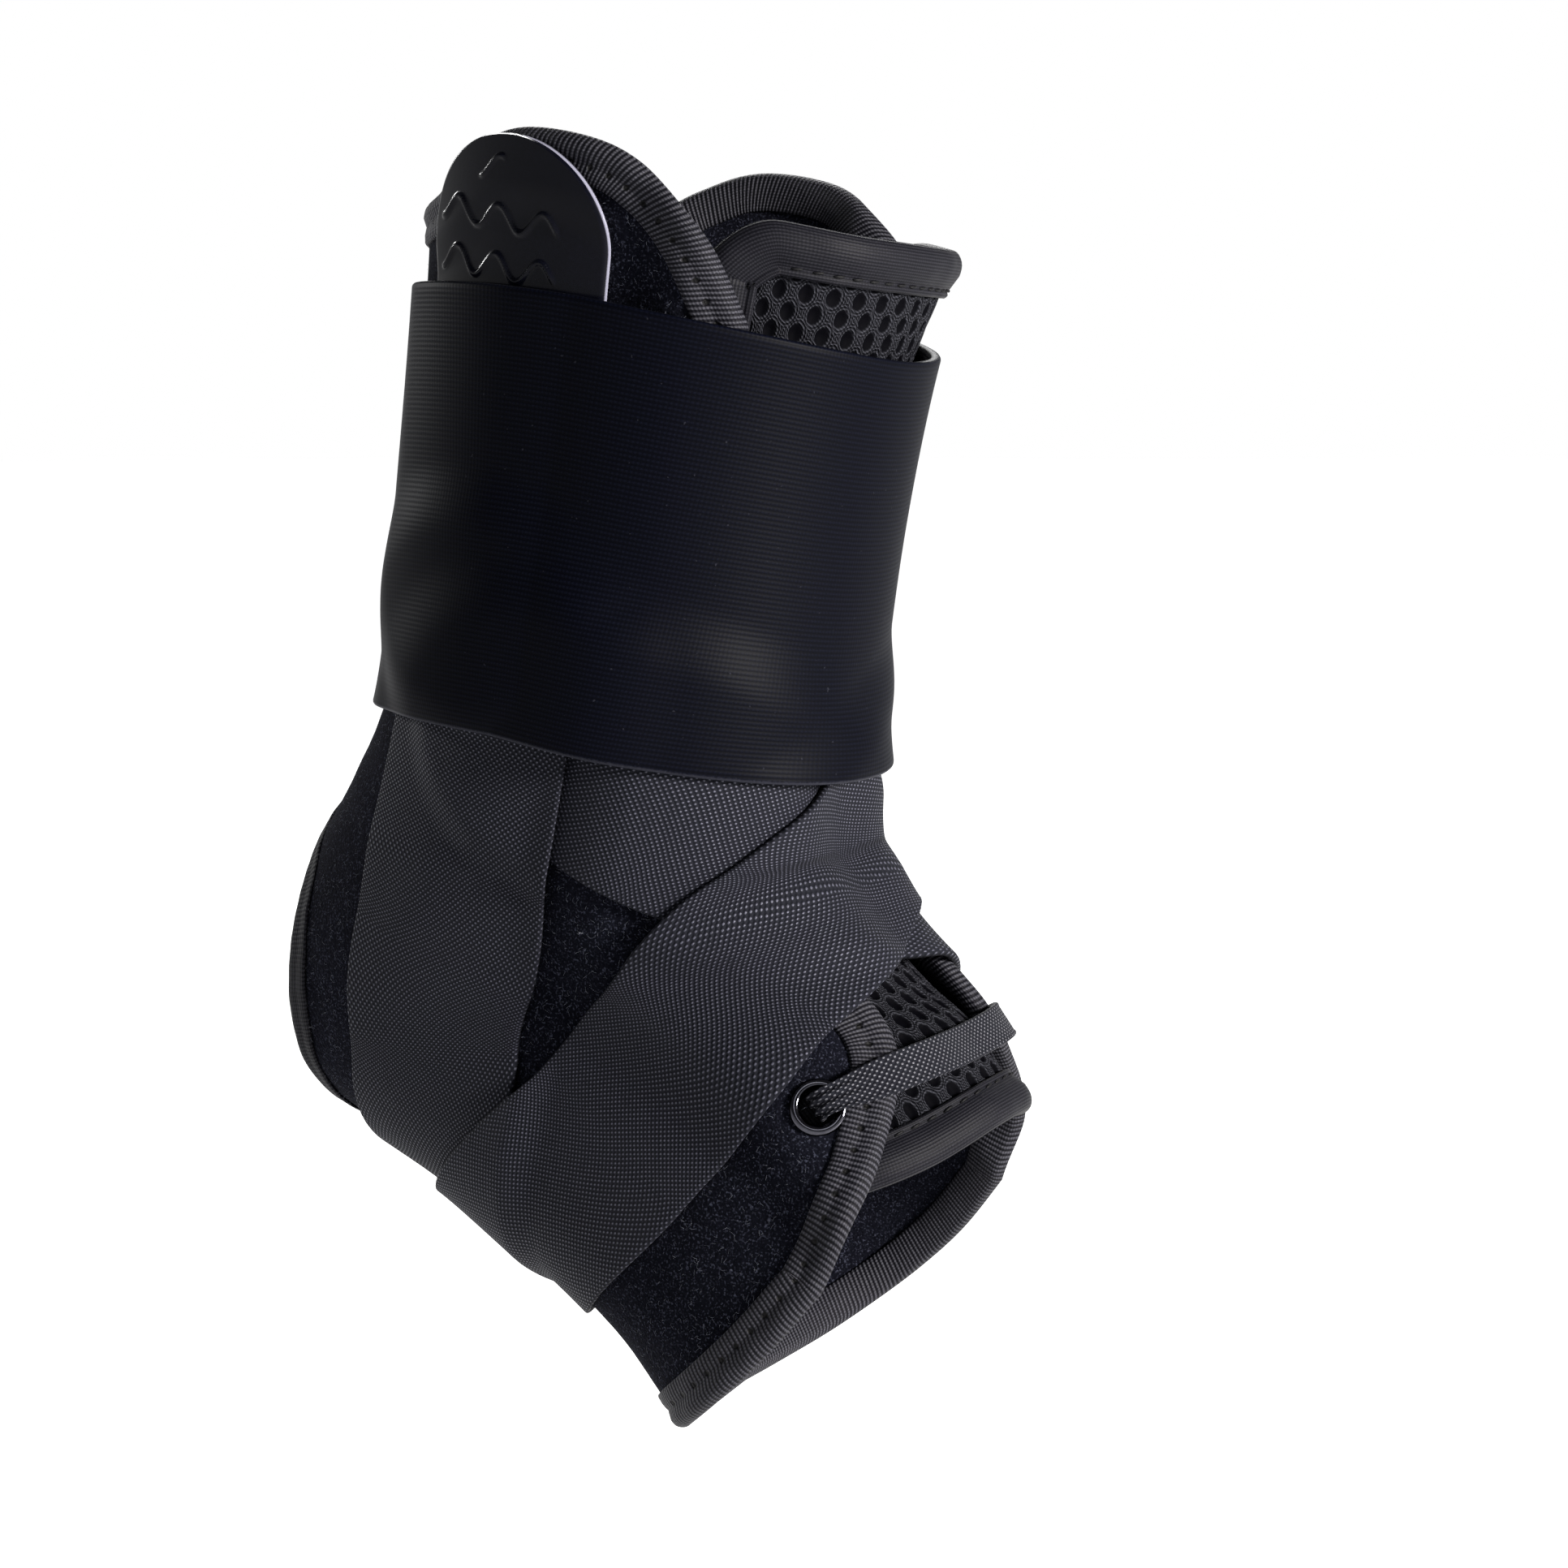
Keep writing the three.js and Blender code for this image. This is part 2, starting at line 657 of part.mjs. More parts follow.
function layersOf(line) {
  return {
    whole: pointsOf(line, 0, 1, 160),
    start: pointsOf(line, 0, STRAP_START_SHARE),
    end: pointsOf(line, 1 - STRAP_END_SHARE, 1),
  };
}
const FIRST_LAYERS = layersOf(FIRST_LINE);
const SECOND_LAYERS = layersOf(SECOND_LINE);
const STRAP_REACH = STRAP_WIDTH / 2 + STRAP_STEP_ROOM;
const STRAP_STEP = STRAP_WALL + LAYER_GAP;
const STAY_STEP = STAY_WALL + LAYER_GAP;

// Strap walls that lie at a place, with the stretch where the strap's end passes over its start
function strapsAt(layers, place, run) {
  const whole = nearness(layers.whole, place, STRAP_REACH, run);
  const start = nearness(layers.start, place, STRAP_REACH, run);
  const end = nearness(layers.end, place, STRAP_REACH, run);
  return STRAP_STEP * (whole + start * end);
}

// The height on which straps lie: the shell, its tapes, the stays and the lift over the tongue,
// and between the shell's front edges down towards the tongue
function groundHeight(place, run, liftFrom = LIFT_FROM - 0.02, sinkShare = SINK_SHARE) {
  const front = frontness(place.round);
  const lifted = smooth(front, liftFrom, LIFT_TO + 0.01);
  const sunk = sinkShare * smooth(front, SINK_FROM, 1);
  const tapes = TAPE_PROUD * nearness(HOLE_POINTS, place, HEEL_TAPE_WIDTH + STEP_ROOM, run);
  const beside = STAY_WIDTH / 2 + STEP_ROOM;
  const stays = Math.max(...STAY_POINTS.map((points) => nearness(points, place, beside, run)));
  const raised = Math.max(tapes, STAY_STEP * stays, (SHELL_LIFT + TAPE_PROUD) * lifted);
  const high = SHELL_TOP + LAYER_GAP + raised;
  return high + (TONGUE_TOP + LAYER_GAP - high) * sunk;
}

const passesStart = (layers, place) => {
  const late = smooth(place.share, 1 - STRAP_END_SHARE, 1 - STRAP_END_SHARE + 0.05);
  return STRAP_STEP * late * nearness(layers.start, place, STRAP_REACH);
};
const firstStrapLow = (place) => groundHeight(place) + passesStart(FIRST_LAYERS, place);
const secondStrapLow = (place) => groundHeight(place)
  + strapsAt(FIRST_LAYERS, place)
  + passesStart(SECOND_LAYERS, place);

const stayLow = (place) => SHELL_TOP + LAYER_GAP
  + TAPE_PROUD * nearness(TOP_POINTS, place, TAPE_WIDTH + STEP_ROOM);

// The cuff climbs over the stays and straps, and over its own start where it laps
const CUFF_TURN = (() => {
  const girth = pointsOf((share) => ({ at: CUFF_LEVEL.at, round: 2 * share }));
  let length = 0;
  for (let i = 1; i < girth.length; i += 1) {
    length += girth[i].distanceTo(girth[i - 1]);
  }
  return 2 + (2 * CUFF_LAP) / length;
})();
const cuffLine = (share) => {
  const round = CUFF_START - share * CUFF_TURN;
  return { at: CUFF_LEVEL.at + CUFF_LEVEL.sway * Math.cos(2 * Math.PI * round), round };
};
function cuffLow(place) {
  const turned = place.share * CUFF_TURN;
  const lap = (CUFF_WALL + LAYER_GAP) * smooth(turned, CUFF_CLIMB.from, CUFF_CLIMB.to);
  const straps = [FIRST_LAYERS, SECOND_LAYERS].map((layers) => strapsAt(layers, place, CUFF_STEP_RUN));
  return groundHeight(place, CUFF_STEP_RUN, CUFF_LIFT_FROM, 0) + straps[0] + straps[1] + lap;
}

// The stay's outline: a round top and straight sides, with closer rows at the top
function stayHalfWidth(length) {
  const full = STAY_WIDTH / 2;
  const short = Math.max(full - length, 0);
  return Math.max(Math.sqrt(full * full - short * short), full * STAY_TIP);
}

function stayStations(line) {
  const stations = [];
  for (let i = 0; i <= STAY_STEPS; i += 1) {
    stations.push(line((i / STAY_STEPS) ** 2));
  }
  return stations;
}

// An eyelet: a barrel with a rim on both faces, turned about its own Y axis
function eyeletProfile(room) {
  const bore = EYELET_HOLE / 2 - room;
  const barrel = EYELET_HOLE / 2 + EYELET_WALL + room;
  const rim = EYELET_RIM / 2 + room;
  const top = SHELL_WALL / 2 + SEAT_GAP + EYELET_WALL + room;
  const seat = SHELL_WALL / 2 + SEAT_GAP - room;
  const under = SHELL_WALL / 2 - SEAT_GAP - room;
  const bottom = -SHELL_WALL / 2 - room;
  return [
    [bore, bottom],
    [rim, bottom],
    [rim, -under],
    [barrel, -under],
    [barrel, seat],
    [rim, seat],
    [rim - EYELET_WALL, top],
    [bore + EYELET_WALL, top],
    [bore, seat],
  ].map(([x, y]) => new THREE.Vector2(x, y));
}

function latheOf(profile) {
  return new THREE.LatheGeometry([...profile, profile[0]], EYELET_SIDES);
}

function eyeletFrame(sign) {
  const place = { at: EYELET_PLACE.at, round: sign * EYELET_PLACE.round };
  const { out } = directions(place.at, place.round);
  const middle = (shellLow(place) + shellHigh(place)) / 2;
  const position = over(place.at, place.round, middle);
  const quaternion = new THREE.Quaternion().setFromUnitVectors(new THREE.Vector3(0, 1, 0), out);
  return { position, quaternion, place };
}

// What an eyelet takes out of the shell: the same profile with room round it and no bore
function eyeletCutter(sign) {
  const { position, quaternion } = eyeletFrame(sign);
  const outer = eyeletProfile(SEAT_GAP).filter((p) => p.x > EYELET_HOLE / 2);
  const reach = SHELL_WALL;
  const profile = [
    new THREE.Vector2(0, -reach),
    new THREE.Vector2(outer[0].x, -reach),
    ...outer.slice(1, 4),
    new THREE.Vector2(outer[3].x, reach),
    new THREE.Vector2(0, reach),
  ];
  const cutter = new THREE.LatheGeometry(profile, EYELET_SIDES);
  cutter.applyQuaternion(quaternion);
  cutter.translate(position.x, position.y, position.z);
  return cutter;
}

function solidOf(geometry) {
  const plain = geometry.clone();
  plain.deleteAttribute('normal');
  plain.deleteAttribute('uv');
  const merged = mergeVertices(plain, 1e-4);
  const vertProperties = new Float32Array(merged.attributes.position.array);
  const triVerts = new Uint32Array(merged.index.array);
  return new wasm.Manifold(new wasm.Mesh({ numProp: 3, vertProperties, triVerts }));
}

function geometryOf(solid) {
  const { vertProperties, triVerts } = solid.getMesh();
  const geometry = new THREE.BufferGeometry();
  geometry.setAttribute('position', new THREE.Float32BufferAttribute(vertProperties, 3));
  geometry.setIndex([...triVerts]);
  geometry.computeVertexNormals();
  return geometry;
}

// The lace: out of one eyelet, over the shell's edges and the tongue, into the other
function laceGeometry() {
  const seat = (sign) => eyeletFrame(sign);
  const start = seat(-1);
  const seatHeight = (shellLow(start.place) + shellHigh(start.place)) / 2 + SHELL_WALL / 2 + TAPE_PROUD;
  const { around } = directions(start.place.at, start.place.round);
  const perHalfTurn = around.length();
  const half = LACE_BEND.map(({ side, up }) => ({
    round: -EYELET_PLACE.round - (side * LACE_WIDTH) / perHalfTurn,
    height: seatHeight + up * LACE_WIDTH,
    side,
  }));
  const lastBend = half[half.length - 1];
  for (let i = 1; i <= LACE_STEPS / 2; i += 1) {
    const share = i / (LACE_STEPS / 2);
    const dip = LACE_MIDDLE_DROP * smooth(share, 0.15, 1);
    half.push({
      round: lastBend.round + (-1 - lastBend.round) * share,
      height: lastBend.height - dip,
      side: lastBend.side + share * 2,
    });
  }
  const otherHalf = half.slice(0, -1).reverse().map((step) => ({ ...step, round: -2 - step.round }));
  const steps = [...half, ...otherHalf];
  const middle = steps.map(({ round, height }) => over(EYELET_PLACE.at, round, height));
  const sections = steps.map(({ round, side }, i) => {
    const fanned = smooth(side, LACE_FAN.from, LACE_FAN.to);
    const width = THREE.MathUtils.lerp(LACE_IN_EYELET, LACE_WIDTH, fanned);
    const before = middle[Math.max(i - 1, 0)];
    const after = middle[Math.min(i + 1, middle.length - 1)];
    const way = after.clone().sub(before).normalize();
    const { along } = directions(EYELET_PLACE.at, round);
    const wide = along.clone().addScaledVector(way, -along.dot(way)).normalize();
    const thick = new THREE.Vector3().crossVectors(way, wide);
    const corner = (w, t) => middle[i].clone()
      .addScaledVector(wide, (w * width) / 2)
      .addScaledVector(thick, (t * LACE_WALL) / 2);
    return [
      corner(-1, 0),
      corner(-0.86, 1),
      corner(0.86, 1),
      corner(1, 0),
      corner(0.86, -1),
      corner(-0.86, -1),
    ];
  });
  return sweep(sections, false);
}

const brace = new THREE.Group();

function addPiece(name, geometry, finish) {
  const mesh = new THREE.Mesh(geometry, new THREE.MeshStandardMaterial(finish));
  mesh.name = name;
  brace.add(mesh);
  return mesh;
}

const { places: shellPlaces, faces: shellFaces } = shellSurface();
const shellWhole = thicken(shellPlaces, shellFaces, shellLow, shellHigh);
const shellCut = solidOf(shellWhole)
  .subtract(solidOf(eyeletCutter(-1)))
  .subtract(solidOf(eyeletCutter(1)));
addPiece('body_shell', geometryOf(shellCut), COLOURS.shell);
addPiece('body_edge_tape', tape(shellRim(), 1, TAPE_WIDTH, UNDER_GAP, shellLow, shellHigh), COLOURS.tape);
addPiece('heel_edge_tape', tape(heelHoleRim(), -1, HEEL_TAPE_WIDTH, BENT_UNDER_GAP, shellLow, shellHigh), COLOURS.tape);

const tonguePlaces = TONGUE_GRID.flat();
const tongueFaces = gridFaces(TONGUE_ROWS, TONGUE_COLUMNS, (i, j) => i * (TONGUE_COLUMNS + 1) + j);
addPiece('tongue_pad', thicken(tonguePlaces, tongueFaces, tongueLow, tongueHigh), COLOURS.tongue);
addPiece('tongue_edge_tape', tape(tongueRim(), 1, TAPE_WIDTH, BENT_UNDER_GAP, tongueLow, tongueHigh), COLOURS.tape);

['side_stay_outer', 'side_stay_inner'].forEach((name, i) => {
  const stations = stayStations(STAY_LINES[i]);
  addPiece(name, band(stations, STAY_CELLS, stayHalfWidth, stayLow, STAY_WALL), COLOURS.stay);
});

const strapHalf = () => STRAP_WIDTH / 2;
const cuffHalf = () => CUFF_WIDTH / 2;
addPiece(
  'strap_first',
  band(placesAlong(FIRST_LINE, STRAP_STEPS), STRAP_CELLS, strapHalf, firstStrapLow, STRAP_WALL),
  COLOURS.webbing,
);
addPiece(
  'strap_second',
  band(placesAlong(SECOND_LINE, STRAP_STEPS), STRAP_CELLS, strapHalf, secondStrapLow, STRAP_WALL),
  COLOURS.webbing,
);
addPiece(
  'cuff_strap',
  band(placesAlong(cuffLine, CUFF_STEPS), CUFF_CELLS, cuffHalf, cuffLow, CUFF_WALL),
  COLOURS.elastic,
);

['eyelet_outer', 'eyelet_inner'].forEach((name, i) => {
  const { position, quaternion } = eyeletFrame(i === 0 ? -1 : 1);
  const eyelet = addPiece(name, latheOf(eyeletProfile(0)), COLOURS.eyelet);
  eyelet.position.copy(position);
  eyelet.quaternion.copy(quaternion);
});
addPiece('front_lace', laceGeometry(), COLOURS.webbing);

export default brace;
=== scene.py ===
"""Looks of an ankle brace in its worn form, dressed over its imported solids.

Lengths are millimetres unless a name says metres. A place on the brace is a pair (at, round): at
is the section number down the leg and foot, and round is the way round in half turns from the back
and sole (0) to the front (1), negative on the outer side.
"""

import logging
import math
from contextlib import contextmanager
from dataclasses import dataclass, field
from enum import Enum
from functools import partial
from typing import Callable, Iterator

import bmesh
import bpy
import numpy as np
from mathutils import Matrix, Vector


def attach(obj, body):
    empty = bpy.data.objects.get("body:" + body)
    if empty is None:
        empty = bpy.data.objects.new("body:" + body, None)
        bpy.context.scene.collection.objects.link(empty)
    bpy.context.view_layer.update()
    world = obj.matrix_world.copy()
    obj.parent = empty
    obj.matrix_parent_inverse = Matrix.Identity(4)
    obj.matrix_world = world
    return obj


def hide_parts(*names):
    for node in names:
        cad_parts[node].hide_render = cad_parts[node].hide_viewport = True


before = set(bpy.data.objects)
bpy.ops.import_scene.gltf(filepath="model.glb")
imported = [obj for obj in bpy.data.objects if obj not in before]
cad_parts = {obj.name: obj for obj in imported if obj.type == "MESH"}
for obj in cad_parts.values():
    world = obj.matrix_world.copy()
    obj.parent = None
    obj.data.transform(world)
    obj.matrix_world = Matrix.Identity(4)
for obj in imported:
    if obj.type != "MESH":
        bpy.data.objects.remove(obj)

LOG = logging.getLogger("ankle_brace")
MM = 0.001
BODY = "root"
CLOTH_MAP = "cloth"

LEG_LEAN = math.radians(6.8)
FOOT_PITCH = math.radians(33)
LEG_RISE = 150.0
FOOT_RUN = 85.0
FOLLOWED = {"leg": (92.0, 78.0), "heel": (1.478 * 92.0, 68.0), "foot": (75.0, 80.0)}

# follows, rise, run, turn in degrees, depth, width, egg, square, front
SECTIONS = (
    ("leg", 1.028, 0.019, -7.5, 1.045, 1.115, 0.0, 2.1, 2.1),
    ("leg", 0.827, -0.019, -6.8, 0.933, 1.026, 0.0, 2.1, 2.1),
    ("leg", 0.558, -0.050, -6.8, 0.894, 0.974, 0.0, 2.1, 2.1),
    ("leg", 0.261, -0.072, -4.5, 0.916, 0.936, 0.0, 2.1, 2.2),
    ("heel", 0.043, -0.159, 2.5, 0.759, 1.074, 0.0, 2.1, 2.3),
    ("heel", -0.088, -0.197, 8.5, 0.940, 1.015, 0.0, 2.1, 2.4),
    ("heel", -0.138, -0.116, 12.0, 0.959, 0.971, 0.0, 2.3, 2.4),
    ("heel", -0.139, 0.081, 15.5, 0.866, 0.971, 0.02, 2.6, 2.4),
    ("foot", -0.122, 0.346, 22.0, 1.304, 0.875, 0.06, 2.8, 2.3),
    ("foot", -0.134, 0.662, 35.3, 1.040, 0.950, 0.1, 2.9, 2.2),
    ("foot", -0.169, 0.911, 46.0, 1.013, 1.025, 0.12, 2.9, 2.2),
)
TOP_EDGE = ((0.74, 0), (0.71, 0.14), (0.62, 0.28), (0.4, 0.355), (0.22, 0.42), (0.18, 0.48),
            (0.24, 0.555), (0.4, 0.615), (0.7, 0.69), (1.1, 0.75))
FRONT_EDGE = ((1.1, 0.75), (1.8, 0.785), (2.7, 0.8), (3.7, 0.815), (5.2, 0.835), (6.5, 0.85),
              (7.6, 0.858), (8.25, 0.844), (8.68, 0.808), (9.16, 0.744), (9.46, 0.675), (9.72, 0.59))
TOE_EDGE = ((9.7, 0), (9.73, 0.12), (9.78, 0.236), (9.83, 0.36), (9.82, 0.47), (9.72, 0.59))
HEEL_HOLE_EDGE = ((3.75, 0), (3.86, 0.1), (4.18, 0.2), (4.68, 0.262), (5.15, 0.278), (5.75, 0.264),
                  (6.36, 0.217), (6.78, 0.15), (7.0, 0.075), (7.08, 0))
STRAP_ROUTE = ((2.99, 0.565), (3.11, 0.638), (3.41, 0.774), (3.93, 0.911), (4.75, 1.060),
               (6.07, 1.216), (7.25, 1.343), (7.96, 1.490), (8.27, 1.651), (8.37, 1.807),
               (8.27, 1.954), (8.08, 2.110), (7.59, 2.274), (6.45, 2.428), (4.93, 2.498),
               (3.87, 2.490), (3.17, 2.465), (2.65, 2.455))
STAY_ROUTE = ((0.2, 0.456), (1.1, 0.453), (2.0, 0.461), (2.45, 0.466))

# name, place and diameter in metres, watts, colour
LAMPS = (
    ("key", (0.45, -0.85, 0.8), 0.30, 0.8, (1, 1, 1)),
    ("right", (1.05, -0.12, 0.30), 0.26, 48.0, (1, 0.96, 0.9)),
    ("left", (-1.03, 0.02, 0.40), 0.10, 4.2, (1, 1, 1)),
    ("back", (-0.5, 0.9, 0.7), 0.6, 11.0, (1, 1, 1)),
)


class Side(Enum):
    """Which side of the leg a piece lies on."""

    OUTER = -1
    INNER = 1


def smooth(x: np.ndarray, low: float, high: float) -> np.ndarray:
    """A smooth step from 0 at low to 1 at high."""
    t = np.clip((np.asarray(x, float) - low) / (high - low), 0, 1)
    return t * t * (3 - 2 * t)


def unit(vectors: np.ndarray) -> np.ndarray:
    """The vectors with length 1."""
    return vectors / np.maximum(np.linalg.norm(vectors, axis=-1, keepdims=True), 1e-12)


def between(rows: np.ndarray, place: np.ndarray) -> np.ndarray:
    """Values between a table's rows, on a curve through them.

    Args:
        rows: The table, one row for each whole number.
        place: Where to read it.

    Returns:
        One row of values for each place.
    """
    last = len(rows) - 1
    index = np.clip(np.floor(place), 0, last - 1).astype(int)
    t = (place - index)[..., None]
    p0, p1 = rows[np.maximum(index - 1, 0)], rows[index]
    p2, p3 = rows[index + 1], rows[np.minimum(index + 2, last)]
    bend = 2 * p0 - 5 * p1 + 4 * p2 - p3
    twist = 3 * p1 - p0 - 3 * p2 + p3
    return 0.5 * (2 * p1 + (p2 - p0) * t + bend * t ** 2 + twist * t ** 3)


def mirrored(rows: tuple) -> tuple:
    """The same line on the other side."""
    return tuple((at, -turn) for at, turn in rows)


def waviness(points: np.ndarray, grain: float, seed: int = 3) -> np.ndarray:
    """A soft random height between about -1 and 1 that changes over the length grain.

    Args:
        points: Points in millimetres.
        grain: The length of a swell.
        seed: Start of the random directions.

    Returns:
        One height for each point.
    """
    rng = np.random.default_rng(seed)
    total = np.zeros(points.shape[:-1])
    for _ in range(7):
        way = unit(rng.normal(size=3)) * 2 * math.pi / (grain * rng.uniform(0.7, 1.6))
        total += np.sin(points @ way + rng.uniform(0, 6.28))
    return total / 3.2


class BraceForm:
    """The surface that the brace is shaped to: sections with a boxy oval outline."""

    def __init__(self) -> None:
        """Turns the table's shares into millimetres."""
        rows = []
        for follows, rise, run, turn, depth, width, egg, square, front in SECTIONS:
            up, along = rise * LEG_RISE, run * FOOT_RUN
            full_depth, full_width = FOLLOWED[follows]
            rows.append((
                up * math.sin(LEG_LEAN) + along * math.cos(FOOT_PITCH),
                up * math.cos(LEG_LEAN) - along * math.sin(FOOT_PITCH),
                math.radians(turn), depth * full_depth / 2, width * full_width / 2,
                egg, square, front,
            ))
        self.rows = np.array(rows)

    def point(self, places: np.ndarray) -> np.ndarray:
        """Points of the form at places."""
        x, z, turn, depth, width, egg, square, front = np.moveaxis(
            between(self.rows, places[..., 0]), -1, 0)
        angle = math.pi * places[..., 1]
        c, s = np.cos(angle), np.sin(angle)
        power = front + (square - front) * (1 + c) / 2
        reach = (np.abs(c) ** power + np.abs(s) ** power) ** (-1 / power)
        forwards = -depth * reach * c
        sideways = width * reach * s * (1 + egg * c)
        return np.stack([x + forwards * np.cos(turn), sideways, z + forwards * np.sin(turn)], -1)

    def directions(self, places: np.ndarray) -> tuple[np.ndarray, np.ndarray, np.ndarray]:
        """The form's directions: along the sections, round them, and outwards."""
        step = 1e-3
        shift = np.array([step, 0.0])
        turn = np.array([0.0, step])
        along = (self.point(places + shift) - self.point(places - shift)) / (2 * step)
        around = (self.point(places + turn) - self.point(places - turn)) / (2 * step)
        return along, around, unit(np.cross(around, along))

    def over(self, places: np.ndarray, height: np.ndarray) -> np.ndarray:
        """Points at heights over the form."""
        return self.point(places) + self.directions(places)[2] * np.asarray(height)[..., None]

    def walk(self, start: np.ndarray, heading: np.ndarray, distance: np.ndarray) -> np.ndarray:
        """Places reached by going over the form.

        Args:
            start: Where each way starts.
            heading: The direction of each way in space.
            distance: How far each goes; a negative one goes backwards.

        Returns:
            The places at the ends.
        """
        shape = np.broadcast_shapes(start.shape[:-1], heading.shape[:-1], np.shape(distance))
        places = np.broadcast_to(start, (*shape, 2)).copy()
        way = np.broadcast_to(heading, (*shape, 3)).copy()
        steps = max(1, math.ceil(float(np.abs(distance).max()) / 3))
        stride = np.broadcast_to(distance, shape)[..., None] / steps
        for _ in range(steps):
            along, around, out = self.directions(places)
            way = unit(way - out * (way * out).sum(-1, keepdims=True))
            aa, bb = (along * along).sum(-1), (around * around).sum(-1)
            ab = (along * around).sum(-1)
            wa = (way * along).sum(-1) * stride[..., 0]
            wb = (way * around).sum(-1) * stride[..., 0]
            det = aa * bb - ab * ab
            places += np.stack([(wa * bb - wb * ab) / det, (wb * aa - wa * ab) / det], -1)
        return places

    def resampled(self, places: np.ndarray, pitch: float, closed: bool) -> np.ndarray:
        """A row of places made even by length.

        Args:
            places: The row.
            pitch: The length wanted between neighbours.
            closed: True for a loop, whose first place isn't repeated.

        Returns:
            The even row.
        """
        row = np.vstack([places, places[:1]]) if closed else places
        length = lengths_along(self.point(row))
        count = max(4, round(length[-1] / pitch))
        goals = np.linspace(0, length[-1], count + 1)
        even = np.stack([np.interp(goals, length, row[:, k]) for k in (0, 1)], -1)
        return even[:-1] if closed else even


def lengths_along(points: np.ndarray) -> np.ndarray:
    """The length reached at each point of a row."""
    return np.concatenate([[0], np.cumsum(np.linalg.norm(np.diff(points, axis=0), axis=-1))])


def line_through(rows: tuple) -> Callable[[np.ndarray], np.ndarray]:
    """A smooth line through a table's places; its share runs from 0 to 1."""
    table = np.array(rows, float)
    return lambda share: between(table, np.asarray(share, float) * (len(table) - 1))


FORM = BraceForm()


@dataclass(frozen=True)
class Layers:
    """Heights of the brace's layers over the form, the same as those of its solids."""

    inner_low: float = 1.65
    tongue_top: float = 3.45
    tape_proud: float = 0.85
    shell_top: float = 3.65
    layer_gap: float = 0.85
    shell_lift: float = 4.8
    strap_wall: float = 1.2
    cuff_wall: float = 1.5
    stay_wall: float = 1.8
    strap_width: float = 40.0
    stay_width: float = 37.0
    step_room: float = 1.9
    settle: float = 0.55  # how far a cloth's underside sinks towards the layer below it

    def frontness(self, places: np.ndarray) -> np.ndarray:
        """How far round a place is, from 0 at the back to 1 at the front."""
        turns = np.mod(places[..., 1], 2)
        return np.where(turns > 1, 2 - turns, turns)

    def lift(self, places: np.ndarray) -> np.ndarray:
        """How far the shell is lifted by the tongue under it."""
        return self.shell_lift * smooth(self.frontness(places), 0.6, 0.69)

    def shell_low(self, places: np.ndarray) -> np.ndarray:
        """Height of the shell's inner face."""
        return self.inner_low + self.lift(places)

    def shell_high(self, places: np.ndarray) -> np.ndarray:
        """Height of the shell's outer face."""
        return self.shell_top + self.lift(places)

    def tongue_rise(self, places: np.ndarray) -> np.ndarray:
        """How far the tongue leans out at its top and stands up at the instep."""
        front, at = self.frontness(places), places[..., 0]
        lean = 5.0 * smooth(front, 0.72, 0.88) * (1 - smooth(at, 0.4, 2.4))
        return lean + 3.4 * smooth(front, 0.81, 0.96) * smooth(at, 7.4, 8.6)

    def tongue_low(self, places: np.ndarray) -> np.ndarray:
        """Height of the tongue's inner face."""
        return self.inner_low + self.tongue_rise(places)

    def tongue_high(self, places: np.ndarray) -> np.ndarray:
        """Height of the tongue's outer face."""
        return self.tongue_top + self.tongue_rise(places)


LAYERS = Layers()


def points_of(line: Callable, start: float = 0.0, end: float = 1.0, count: int = 120) -> np.ndarray:
    """A line's points on the form."""
    return FORM.point(line(np.linspace(start, end, count)))


def nearness(points: np.ndarray, places: np.ndarray, distance: float, run: float = 8.0) -> np.ndarray:
    """How near places are to a line.

    Args:
        points: The line's points.
        places: The places.
        distance: Up to here it is 1.
        run: It falls to 0 over this length.

    Returns:
        One number from 0 to 1 for each place.
    """
    flat = FORM.point(places).reshape(-1, 3)
    nearest = np.full(len(flat), np.inf)
    for q in points:
        nearest = np.minimum(nearest, ((flat - q) ** 2).sum(-1))
    return (1 - smooth(np.sqrt(nearest), distance, distance + run)).reshape(places.shape[:-1])


